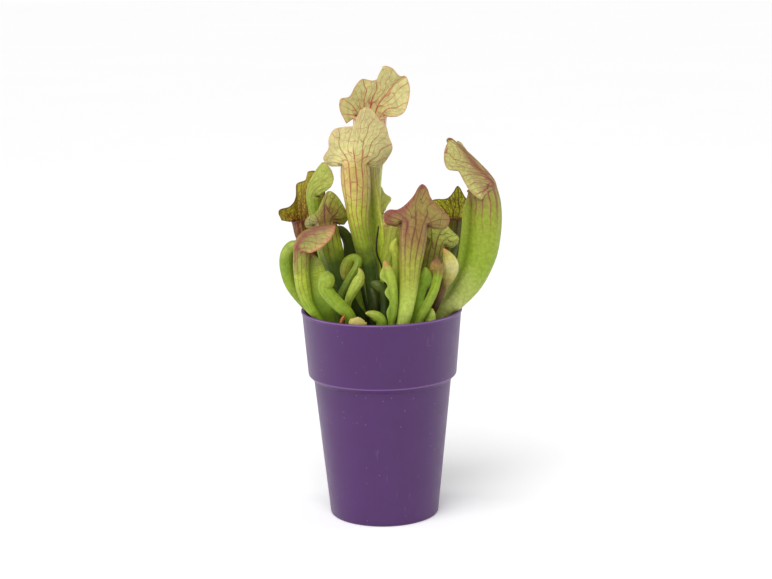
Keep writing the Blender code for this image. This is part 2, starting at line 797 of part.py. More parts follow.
            (-21.2, -33.0, 110.0, 1.5, 0.8, 0.1),
            (-21.9, -35.4, 116.4, 1.2, 0.7, 0.1),
            (-21.6, -36.0, 118.6, 1.0, 0.7, 0.0),
            (-21.0, -36.0, 120.4, 0.9, 0.6, 0.0),
            (-19.7, -36.0, 122.0, 0.4, 0.4, 0.0),
        ),
    ),
    dict(
        name="dry_twig",
        colour=BROWN,
        facing=0,
        rows=8,
        stations=(
            (3.5, -12.5, 103.5, 0.8, 0.8, 0.0),
            (3.5, -12.5, 112.0, 0.7, 0.7, 0.0),
            (2.6, -13.0, 130.0, 0.6, 0.6, 0.0),
            (0.4, -13.5, 144.0, 0.5, 0.5, 0.0),
            (-2.0, -12.5, 151.0, 0.5, 0.5, 0.0),
            (-2.2, -11.5, 157.0, 0.5, 0.5, 0.0),
            (-1.0, -10.5, 166.0, 0.4, 0.4, 0.0),
        ),
    ),
)

# Pitchers of the far side, which share one pattern: foot, mouth, facing, size and colour
BACK_PITCHERS = (
    ((-27.0, 11.0), (-43.0, 24.0, 137.0), 200, 0.95, GREEN),
    ((-18.0, 25.0), (-31.0, 38.0, 140.0), 150, 1.00, YELLOW_GREEN),
    ((-8.0, 27.0), (-13.0, 46.0, 131.0), 190, 0.85, BRONZE),
    ((0.5, 33.0), (4.0, 48.0, 143.0), 170, 1.00, YELLOW_GREEN),
    ((13.0, 29.0), (20.0, 43.0, 134.0), 210, 0.90, GREEN),
    ((21.0, 19.0), (31.0, 31.0, 142.0), 160, 1.00, PINK),
    ((29.0, 10.0), (54.0, 17.0, 156.0), 140, 1.05, YELLOW_GREEN),
)
BACK_MARGIN = (
    (-7.6, -2.4, 6.0),
    (-9.2, 3.0, 4.5),
    (-6.0, 9.6, 2.0),
    (0.6, 13.6, 2.0),
    (6.4, 8.8, 2.0),
    (9.2, 2.4, 4.5),
    (7.4, -2.6, 6.5),
)

# How far along a pitcher of the far side, its half widths across and to the front, and its wing
BACK_GIRTHS = (
    (0.0, 2.3, 2.3, 0.4),
    (0.14, 2.6, 2.5, 0.8),
    (0.4, 3.4, 3.2, 1.6),
    (0.7, 4.5, 4.2, 1.8),
    (1.0, 5.2, 4.8, 0.0),
)
BACK_BOW = 0.3


def smooth_rows(keys, count):
    """Rows evenly spaced by key along a smooth curve that passes through every key row."""
    keys = np.array(keys, float)
    ends = np.vstack([2 * keys[0] - keys[1], keys, 2 * keys[-1] - keys[-2]])
    place = np.linspace(0, len(keys) - 1, count)
    span = np.minimum(place.astype(int), len(keys) - 2)
    t = (place - span)[:, None]
    before, start, end, after = (ends[span + step] for step in range(4))
    bend = 2 * before - 5 * start + 4 * end - after
    turn = 3 * (start - end) + after - before
    return start + 0.5 * t * ((end - before) + t * (bend + t * turn))


def unit(vectors):
    return vectors / np.maximum(np.linalg.norm(vectors, axis=-1, keepdims=True), 1e-9)


def looking(degrees):
    """The level direction at this angle from -Y, and the direction across it."""
    angle = np.radians(degrees)
    zero = np.zeros_like(angle)
    front = np.stack([np.sin(angle), -np.cos(angle), zero], axis=-1)
    return front, np.cross(front, [0.0, 0.0, 1.0])


def spine_frames(centres, facing):
    """Along, across and front directions at each row of a spine."""
    along = unit(np.gradient(centres, axis=0))
    across = looking(facing)[1]
    across = unit(across - (across * along).sum(-1, keepdims=True) * along)
    return along, across, np.cross(along, across)


def tube_rings(rows, facing, angles, inset=0.0):
    """Rings of points round a spine. The first and last columns are the two edges of the wing."""
    centres, half_across, half_front, wing = rows[:, :3], rows[:, 3], rows[:, 4], rows[:, 5]
    along, across, front = spine_frames(centres, facing)
    turn = np.radians(angles)
    sideways = (half_across - inset)[:, None] * np.sin(turn)
    forward = (half_front - inset)[:, None] * np.cos(turn)
    for column, side in ((0, 1), (-1, -1)):
        sideways[:, column] = side * WING_EDGE
        forward[:, column] += wing * (inset == 0)
    return centres[:, None] + across[:, None] * sideways[..., None] + front[:, None] * forward[..., None]


class Shell:
    """A mesh in the making. Strips are split into triangles the same way on both faces."""

    def __init__(self):
        self.points = []
        self.faces = []

    def add(self, points):
        first = len(self.points)
        self.points.extend(np.reshape(points, (-1, 3)))
        return np.arange(first, len(self.points)).reshape(np.shape(points)[:-1])

    def strip(self, low, high, closed=False):
        count = len(low)
        for i in range(count if closed else count - 1):
            j = (i + 1) % count
            self.faces.append((low[i], low[j], high[j]))
            self.faces.append((low[i], high[j], high[i]))

    def grid(self, rows, closed=False):
        for low, high in zip(rows[:-1], rows[1:]):
            self.strip(low, high, closed)

    def fan(self, ring, centre):
        middle = self.add([centre])[0]
        for i, point in enumerate(ring):
            self.faces.append((point, ring[(i + 1) % len(ring)], middle))

    def finish(self, name, colour, roughness=0.45):
        mesh = bpy.data.meshes.new(name)
        mesh.from_pydata([tuple(point * MM) for point in self.points], [], [tuple(f) for f in self.faces])
        face_out(mesh)
        mesh.shade_smooth()
        return place(name, mesh, colour, roughness)


def face_out(mesh):
    work = bmesh.new()
    work.from_mesh(mesh)
    bmesh.ops.recalc_face_normals(work, faces=work.faces)
    work.to_mesh(mesh)
    work.free()


def material(name, colour, roughness):
    finish = bpy.data.materials.new(name)
    finish.use_nodes = True
    shader = finish.node_tree.nodes["Principled BSDF"]
    shader.inputs["Base Color"].default_value = (*colour, 1.0)
    shader.inputs["Roughness"].default_value = roughness
    shader.inputs["Metallic"].default_value = 0.0
    return finish


def place(name, mesh, colour, roughness):
    piece = bpy.data.objects.new(name, mesh)
    bpy.context.scene.collection.objects.link(piece)
    mesh.materials.append(material(name, colour, roughness))
    return piece


def mouth_rise(count, angles, rise):
    """How far each point of the last rows is lifted, so that the mouth slants up to its back."""
    blend = np.clip((np.linspace(0, 1, count) - 1 + RIM_BLEND) / RIM_BLEND, 0, 1)
    blend = blend * blend * (3 - 2 * blend)
    return rise * blend[:, None] * (1 - np.cos(np.radians(angles))) / 2


def lid_sheet(neck, along, margin, lift, count):
    """The middle surface of a lid: one bent vein from each point of the neck to the margin."""
    place_along = np.linspace(0, 1, count)[:, None, None]
    reach = np.linalg.norm(margin - neck, axis=1)[:, None]
    middle = 1 - np.linspace(-1, 1, len(neck))[:, None] ** 2
    control = neck + 0.5 * (margin - neck) * (1 - middle) + along * lift * reach * middle
    return (
        (1 - place_along) ** 2 * neck
        + 2 * place_along * (1 - place_along) * control
        + place_along**2 * margin
    )


def sheet_normals(sheet):
    return unit(np.cross(np.gradient(sheet, axis=1), np.gradient(sheet, axis=0)))


def open_pitcher(name, colour, facing, rise, lift, rows, stations, lid, lid_rows=4):
    """A tube with a wing down its front, a hollow below its mouth and a lid on its back."""
    spine = smooth_rows(stations, rows)
    look = np.linspace(facing[0], facing[1], rows)
    neck_angles = np.linspace(NECK_START, 360 - NECK_START, len(lid))
    angles = np.array([0, WING_ROOT, SHOULDER, *neck_angles, 360 - SHOULDER, 360 - WING_ROOT, 360])
    first = 3
    neck = slice(first, first + len(lid))
    along = spine_frames(spine[:, :3], look)[0]
    lifted = along[:, None] * mouth_rise(rows, angles, rise)[..., None]
    outer = tube_rings(spine, look, angles) + lifted
    outer[0, :, 2] = spine[0, 2]
    inner = tube_rings(spine, look, angles, LEAF_WALL) + lifted
    roll = LIP_ROLL * (1 + np.cos(np.radians(angles)))[:, None] / 2
    outwards = unit(outer[-1] - outer[-1].mean(axis=0))
    outer[-1] += outwards * roll
    inner[-1] += outwards * roll

    shell = Shell()
    outside = shell.add(outer)
    hollow_from = rows - HOLLOW_ROWS
    inside = shell.add(inner[hollow_from:])
    shell.grid(outside, closed=True)
    shell.grid(inside, closed=True)
    shell.fan(outside[0], spine[0, :3])
    shell.fan(inside[0], inner[hollow_from].mean(axis=0))

    # The rim closes the wall everywhere but at the neck, where the lid goes on from it
    beyond = [i % len(angles) for i in range(neck.stop - 1, first + len(angles) + 1)]
    shell.strip(outside[-1][beyond], inside[-1][beyond])

    forward, across = looking(np.array(float(facing[1])))
    origin = outer[-1][neck][len(lid) // 2]
    steps = np.array(lid[::-1])
    margin = origin + steps[:, :1] * across + steps[:, 2:] * forward + steps[:, 1:2] * [0, 0, 1]
    rim = (outer[-1][neck] + inner[-1][neck]) / 2
    sheet = lid_sheet(rim, along[-1], margin, lift, lid_rows + 1)
    normals = sheet_normals(sheet)
    outwards = np.sign((normals[0] * (outer[-1][neck] - inner[-1][neck])).sum())
    offset = normals * outwards * LID_THICKNESS / 2
    upper = [outside[-1][neck], *shell.add(sheet[1:] + offset[1:])]
    lower = [inside[-1][neck], *shell.add(sheet[1:] - offset[1:])]
    shell.grid(upper)
    shell.grid(lower)
    for column in (0, -1):
        shell.strip([row[column] for row in upper], [row[column] for row in lower])
    shell.strip(upper[-1], lower[-1])
    return shell.finish(name, colour)


def closed_pitcher(name, colour, facing, rows, stations):
    """A young pitcher: a closed horn, with a low wing on the side that it hooks towards."""
    spine = smooth_rows(stations, rows)
    look = np.full(rows, float(facing))
    rings = tube_rings(spine, look, HORN_ANGLES)
    rings[0, :, 2] = spine[0, 2]
    along = spine_frames(spine[:, :3], look)[0]
    shell = Shell()
    indices = shell.add(rings)
    shell.grid(indices, closed=True)
    shell.fan(indices[0], spine[0, :3])
    shell.fan(indices[-1], spine[-1, :3] + along[-1] * spine[-1, 4] * 0.5)
    return shell.finish(name, colour)


def back_pitcher(number, foot, mouth, facing, size, colour):
    """The table of one open pitcher of the far side, bowed up from its foot to its mouth."""
    foot = np.array([*foot, SOIL_LEVEL - FOOT_DEPTH])
    mouth = np.array(mouth)
    reach = np.linalg.norm(mouth - foot)
    stations = []
    for place_along, across, front, wing in BACK_GIRTHS:
        centre = foot + (mouth - foot) * place_along
        centre[2] += reach * BACK_BOW * place_along * (1 - place_along)
        stations.append((*centre, across * size, front * size, wing * size))
    return dict(
        name=f"back_pitcher_{number}",
        colour=colour,
        facing=(facing, facing),
        rise=2.0,
        lift=0.4,
        rows=6,
        stations=tuple(stations),
        lid=tuple(tuple(size * step for step in point) for point in BACK_MARGIN),
        lid_rows=3,
    )


def turned(profile, sides):
    """A solid turned round Z from a profile of radius and height that starts and ends on the axis."""
    shell = Shell()
    turn = np.arange(sides) * 2 * math.pi / sides
    rings = [
        shell.add(np.stack([r * np.cos(turn), r * np.sin(turn), np.full(sides, z)], axis=-1))
        for r, z in profile[1:-1]
    ]
    shell.grid(rings, closed=True)
    shell.fan(rings[0], (0, 0, profile[0][1]))
    shell.fan(rings[-1], (0, 0, profile[-1][1]))
    return shell


def body_radius(height, inset=0.0):
    """The outer radius of the pot's lower body at a height, less an inset."""
    slope = (BODY_TOP_RADIUS - BASE_RADIUS) / BODY_TOP_HEIGHT
    return BASE_RADIUS + slope * height - inset


def collar_radius(height, inset=0.0):
    slope = (COLLAR_TOP_RADIUS - COLLAR_FOOT_RADIUS) / (POT_HEIGHT - COLLAR_FOOT_HEIGHT)
    return COLLAR_FOOT_RADIUS + slope * (height - COLLAR_FOOT_HEIGHT) - inset


def pot_profile():
    top = POT_HEIGHT
    return [
        (0.0, 0.0),
        (BASE_RADIUS - 1.6, 0.0),
        (BASE_RADIUS - 0.5, 0.3),
        (body_radius(1.6), 1.6),
        (BODY_TOP_RADIUS, BODY_TOP_HEIGHT),
        (BODY_TOP_RADIUS + 0.9, BODY_TOP_HEIGHT + 0.6),
        (COLLAR_FOOT_RADIUS - 1.0, COLLAR_FOOT_HEIGHT - 2.2),
        (COLLAR_FOOT_RADIUS - 0.2, COLLAR_FOOT_HEIGHT - 1.2),
        (COLLAR_FOOT_RADIUS, COLLAR_FOOT_HEIGHT),
        (collar_radius(top - 2.0), top - 2.0),
        (RIM_RADIUS, top - 1.2),
        (RIM_RADIUS, top - 0.5),
        (RIM_RADIUS - 0.6, top),
        (RIM_RADIUS - 1.5, top),
        (RIM_RADIUS - 2.0, top - 0.6),
        (collar_radius(top - 2.0, WALL), top - 2.0),
        (COLLAR_FOOT_RADIUS - WALL, COLLAR_FOOT_HEIGHT),
        (BODY_TOP_RADIUS - WALL, STEP_HEIGHT),
        (body_radius(FLOOR + 1.0, WALL), FLOOR + 1.0),
        (body_radius(FLOOR, WALL) - 1.0, FLOOR),
        (0.0, FLOOR),
    ]


def prism(name, x, y, low, high, half_x, half_y, sides):
    """An upright cutter with an oval section, hidden from renders."""
    shell = Shell()
    turn = (np.arange(sides) + 0.5) * 2 * math.pi / sides
    ring_x = x + half_x * np.cos(turn)
    ring_y = y + half_y * np.sin(turn)
    rings = [shell.add(np.stack([ring_x, ring_y, np.full(sides, z)], axis=-1)) for z in (low, high)]
    shell.grid(rings, closed=True)
    shell.fan(rings[0], (x, y, low))
    shell.fan(rings[1], (x, y, high))
    cutter = shell.finish(name, PEAT)
    cutter.hide_render = True
    cutter.display_type = "WIRE"
    return cutter


def cut(piece, cutters, name):
    group = bpy.data.collections.new(name)
    for cutter in cutters:
        group.objects.link(cutter)
    modifier = piece.modifiers.new(name, "BOOLEAN")
    modifier.operation = "DIFFERENCE"
    modifier.solver = "EXACT"
    modifier.operand_type = "COLLECTION"
    modifier.collection = group


def make_pot():
    pot = turned(pot_profile(), POT_SIDES).finish("pot", PURPLE, 0.42)
    pot.data.set_sharp_from_angle(angle=math.radians(35))
    drains = []
    for i in range(DRAIN_HOLES):
        turn = 2 * math.pi * i / DRAIN_HOLES
        x, y = DRAIN_CIRCLE * math.cos(turn), DRAIN_CIRCLE * math.sin(turn)
        drains.append(prism(f"drain_{i}", x, y, -1.0, FLOOR + 1.0, DRAIN_RADIUS, DRAIN_RADIUS, DRAIN_SIDES))
    cut(pot, drains, "drains")
    return pot


def make_soil(sockets):
    """The peat, up to its uneven top, with a socket for each leaf and a bed for the rhizome."""
    rng = random.Random(SOIL_SEED)
    shell = Shell()
    turn = np.arange(SOIL_SIDES) * 2 * math.pi / SOIL_SIDES
    inset = WALL + GAP

    def ring(radius, height):
        heights = np.broadcast_to(height, turn.shape)
        return shell.add(np.stack([radius * np.cos(turn), radius * np.sin(turn), heights], axis=-1))

    top_radius = collar_radius(SOIL_LEVEL, inset)
    bevel = FLOOR + SOIL_FOOT_BEVEL
    sides = [
        ring(body_radius(FLOOR, inset) - SOIL_FOOT_BEVEL, FLOOR + GAP),
        ring(body_radius(bevel, inset), bevel),
        ring(body_radius(STEP_HEIGHT - GAP, inset), STEP_HEIGHT - GAP),
        ring(COLLAR_FOOT_RADIUS - inset - GAP, COLLAR_FOOT_HEIGHT),
    ]
    top = []
    for i in range(SOIL_RINGS):
        radius = top_radius * (1 - i / SOIL_RINGS)
        bumps = np.array([rng.uniform(-SOIL_RELIEF, SOIL_RELIEF) for _ in turn])
        top.append(ring(radius, SOIL_LEVEL + bumps * min(1, 0.4 + i / SOIL_RINGS)))
    shell.grid([*sides, *top], closed=True)
    shell.fan(sides[0], (0, 0, FLOOR + GAP))
    shell.fan(top[-1], (0, 0, SOIL_LEVEL))
    soil = shell.finish("soil", PEAT, 0.95)
    cut(soil, sockets, "sockets")
    return soil


def rhizome_rings(extra):
    """The rhizome's own rings, or those of the bed that it lies in when extra is more than 0."""
    spine = smooth_rows(RHIZOME, RHIZOME_ROWS)
    along = unit(np.gradient(spine[:, :3], axis=0))
    across = unit(np.cross(along, [0, 0, 1.0]))
    upright = np.cross(across, along)
    turn = np.arange(RHIZOME_SIDES) * 2 * math.pi / RHIZOME_SIDES
    knobs = 1 + 0.09 * np.sin(3 * turn[None] + np.arange(RHIZOME_ROWS)[:, None] * 2.1)
    radius = spine[:, 3:4] * knobs + extra
    ring = (
        across[:, None] * (radius * np.cos(turn))[..., None]
        + upright[:, None] * (radius * np.sin(turn))[..., None]
    )
    ends = (spine[0, :3] - along[0] * (1 + extra), spine[-1, :3] + along[-1] * (1 + extra))
    return spine[:, None, :3] + ring, ends


def make_rhizome(name, extra=0.0):
    shell = Shell()
    points, ends = rhizome_rings(extra)
    rings = shell.add(points)
    shell.grid(rings, closed=True)
    shell.fan(rings[0], ends[0])
    shell.fan(rings[-1], ends[1])
    piece = shell.finish(name, BROWN, 0.8)
    if extra:
        piece.hide_render = True
        piece.display_type = "WIRE"
    return piece


def sockets_for(leaves):
    """One plain hole in the soil for each leaf's foot, a little wider than the leaf all round."""
    holes = []
    bottom = SOIL_LEVEL - FOOT_DEPTH - GAP
    top = SOIL_LEVEL + 3 * SOIL_RELIEF
    for number, leaf in enumerate(leaves):
        reach = smooth_rows(leaf["stations"], 8 * len(leaf["stations"]))
        buried = reach[reach[:, 2] < SOIL_LEVEL + SOIL_RELIEF]
        low = buried[:, :2].min(axis=0)
        high = buried[:, :2].max(axis=0)
        x, y = (low + high) / 2
        lean_x, lean_y = (high - low) / 2
        girth = buried[:, 5].max() + buried[:, 3:5].max()
        clear = GAP + girth / math.cos(math.pi / SOCKET_SIDES)
        holes.append(
            prism(f"socket_{number}", x, y, bottom, top, clear + lean_x, clear + lean_y, SOCKET_SIDES)
        )
    return holes


def clear_scene():
    for thing in list(bpy.data.objects):
        bpy.data.objects.remove(thing, do_unlink=True)


def main():
    clear_scene()
    make_pot()
    far_side = [back_pitcher(number, *leaf) for number, leaf in enumerate(BACK_PITCHERS, 1)]
    for leaf in (*OPEN_PITCHERS, *far_side):
        open_pitcher(**leaf)
    for leaf in CLOSED_PITCHERS:
        closed_pitcher(**leaf)
    make_rhizome("rhizome")
    holes = sockets_for((*OPEN_PITCHERS, *far_side, *CLOSED_PITCHERS))
    make_soil([*holes, make_rhizome("rhizome_bed", GAP)])


main()
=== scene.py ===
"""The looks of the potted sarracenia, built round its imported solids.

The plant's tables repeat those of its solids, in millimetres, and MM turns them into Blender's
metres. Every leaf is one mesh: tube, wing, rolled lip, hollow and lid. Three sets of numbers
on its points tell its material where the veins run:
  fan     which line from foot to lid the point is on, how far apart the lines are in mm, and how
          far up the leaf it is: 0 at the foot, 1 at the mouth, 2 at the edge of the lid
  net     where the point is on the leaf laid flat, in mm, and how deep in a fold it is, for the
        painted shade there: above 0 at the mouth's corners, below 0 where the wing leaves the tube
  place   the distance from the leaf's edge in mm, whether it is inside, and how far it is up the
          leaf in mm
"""

import json
import math
import random

import bmesh
import bpy
import numpy as np
from mathutils import Matrix, Vector


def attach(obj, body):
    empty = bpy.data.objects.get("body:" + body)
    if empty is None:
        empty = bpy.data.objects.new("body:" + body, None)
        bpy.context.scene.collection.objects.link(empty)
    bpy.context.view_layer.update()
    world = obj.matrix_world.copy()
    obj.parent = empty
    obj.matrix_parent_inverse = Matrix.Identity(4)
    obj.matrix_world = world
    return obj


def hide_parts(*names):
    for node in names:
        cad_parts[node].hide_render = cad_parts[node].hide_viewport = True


MM = 0.001

# Leaves. Angles are round the tube in degrees from its front, where the wing is, and lengths in mm.
LEAF_WALL = 0.9
LID_THICKNESS = 0.8
LID_EDGE = 0.45
LID_SPREAD = 105.0
LID_LIFT = 0.4
WING_EDGE = 0.35
WING_ROOT = 16.0
WING_FLANK = (1.0, 0.7, 0.4, 0.15)
WING_THINNING = 2.2
FULL_WING = 3.0
NECK_START = 115.0
RIM_BLEND = 0.22
# Past this angle the rim carries the lid, so its coloured edge fades
FREE_RIM = 99.0
# The least width of wing that counts, and the width below which its coloured edge fades
OPEN_WING = (0.1, 1.6)
YOUNG_WING = (0.0, 1.2)
HOLLOW_SHARE = 0.35
BEAD_STEPS = 6
TIP_STEPS = 5
TIP_LENGTH = 0.5
FAR = 9.0
PIT_SIZE = 1.7
PIT_DEPTH = 1.3
PIT_ROW = 3
PIT_COLUMN = 2
VALLEY_ANGLE = 26.0
VALLEY_FLANK = 0.4
# The lip's bead turns this much further than a half circle, bulges outwards and upwards, and grows
# between these shares of the way to the front
ROLL_TURN = 1.25
ROLL_OUT = 0.35
ROLL_UP = 0.6
ROLL_GROWS = (0.12, 0.75)
# Where a lid thins, folds and puckers, as shares of the way from its neck to its margin
LID_THINS = (0.3, 1.0)
PITS_GROW = (0.0, 0.1)
PUCKER_GROWS = (0.0, 0.5)
PUCKER_FADES = (0.6, 1.0)
# Waves: how many of each kind, and how high. Lumps are a share of the tube's width.
LUMP_WAVES = (2, 5)
LUMPS = 0.02
LUMPS_GROW = (0.0, 0.2)
WING_WAVES = (3, 7, 11)
RUFFLE_WAVES = (3, 5, 8)
RUFFLE = 0.45
NICK_WAVES = (11, 14)
NICKS = 0.1575
PUCKER_WAVES = (9, 13)
PUCKER = 0.14
# Rows, columns, lines of veins, the wing's flutter and the lip's roll, and what differs from them
FINE = dict(rows=64, lid_rows=26, lid_columns=61, side_columns=12, lines=12, flutter=0.35, lip=0.55)
BACK_FINE = dict(rows=40, lid_rows=16, lid_columns=41, side_columns=9, lines=11)
SHAPES = {
    "tall_pitcher_back": dict(lines=15),
    "tall_pitcher_front": dict(lines=15),
    "dark_pitcher_left": dict(lip=0.2),
    "dark_pitcher_right": dict(lip=0.2),
    "pale_pitcher_left": dict(lip=0.0),
    "curved_pitcher_left": dict(flutter=0.1),
    "veined_pitcher_left": dict(lines=14),
    "bronze_pitcher_front": dict(lines=13),
    "great_pitcher_right": dict(lines=14),
}
YOUNG_ROWS = 48
YOUNG_COLUMNS = (17, 9)
YOUNG_LINES = 9
YOUNG_FLUTTER = 0.25

# Pot
POT_HEIGHT = 118.0
RIM_RADIUS = 45.0
COLLAR_TOP_RADIUS = 44.6
COLLAR_FOOT_RADIUS = 41.6
COLLAR_FOOT_HEIGHT = 82.5
BODY_TOP_RADIUS = 38.6
BODY_TOP_HEIGHT = 78.4
STEP_HEIGHT = 77.4
BASE_RADIUS = 30.6
WALL = 1.4
FLOOR = 1.6
RIM_WIDTH = 2.0
ROUND_SHARE = 0.45
POT_SIDES = 192
SHARP_ANGLE = 50.0
DRAIN_HOLES = 6
DRAIN_SIDES = 40
DRAIN_RADIUS = 3.4
DRAIN_CIRCLE = 19.0
# Painted highlights along the collar's lower edge and the rim's top, by their height and half width
HIGHLIGHT_EDGES = ((81.3, 0.7), (117.6, 0.7))
# The plastic: its two tones, and for painted edge highlights, specks and scuffs their colour and
# how much they show
PLASTIC = ((63, 22, 81), (71, 29, 92))
HIGHLIGHT = ((134, 92, 158), 0.6)
SPECKS = ((176, 160, 190), 0.28)
SCUFFS = ((150, 130, 168), 0.16)

# Soil and rhizome
SOIL_LEVEL = 107.0
SOIL_RINGS = 40
SOIL_SIDES = 120
SOIL_RELIEF = 0.9
SOIL_FALL = 0.8
GAP = 0.3
GRIT = 0.35
CRUMBS = 900
CRUMB_SIZE = (0.35, 1.5)
CRUMB_DENT = 0.16
RHIZOME = (
    (-13.5, -4, 106.4, 2.6), (-12, -7.5, 107.2, 4), (-11, -11.5, 107, 3.4), (-10.5, -15.5, 107.3, 4),
    (-10.5, -19, 106.6, 2.6),
)
RHIZOME_ROWS = 70
RHIZOME_SIDES = 36
KNOBS = 0.07
SCARS = 0.035
# Name, dark tone, light tone and scale of the grain
PEAT = ("peat_crumb", (26, 18, 12), (74, 54, 38), 420)
BARK = ("rhizome_bark", (44, 30, 20), (104, 74, 44), 500)

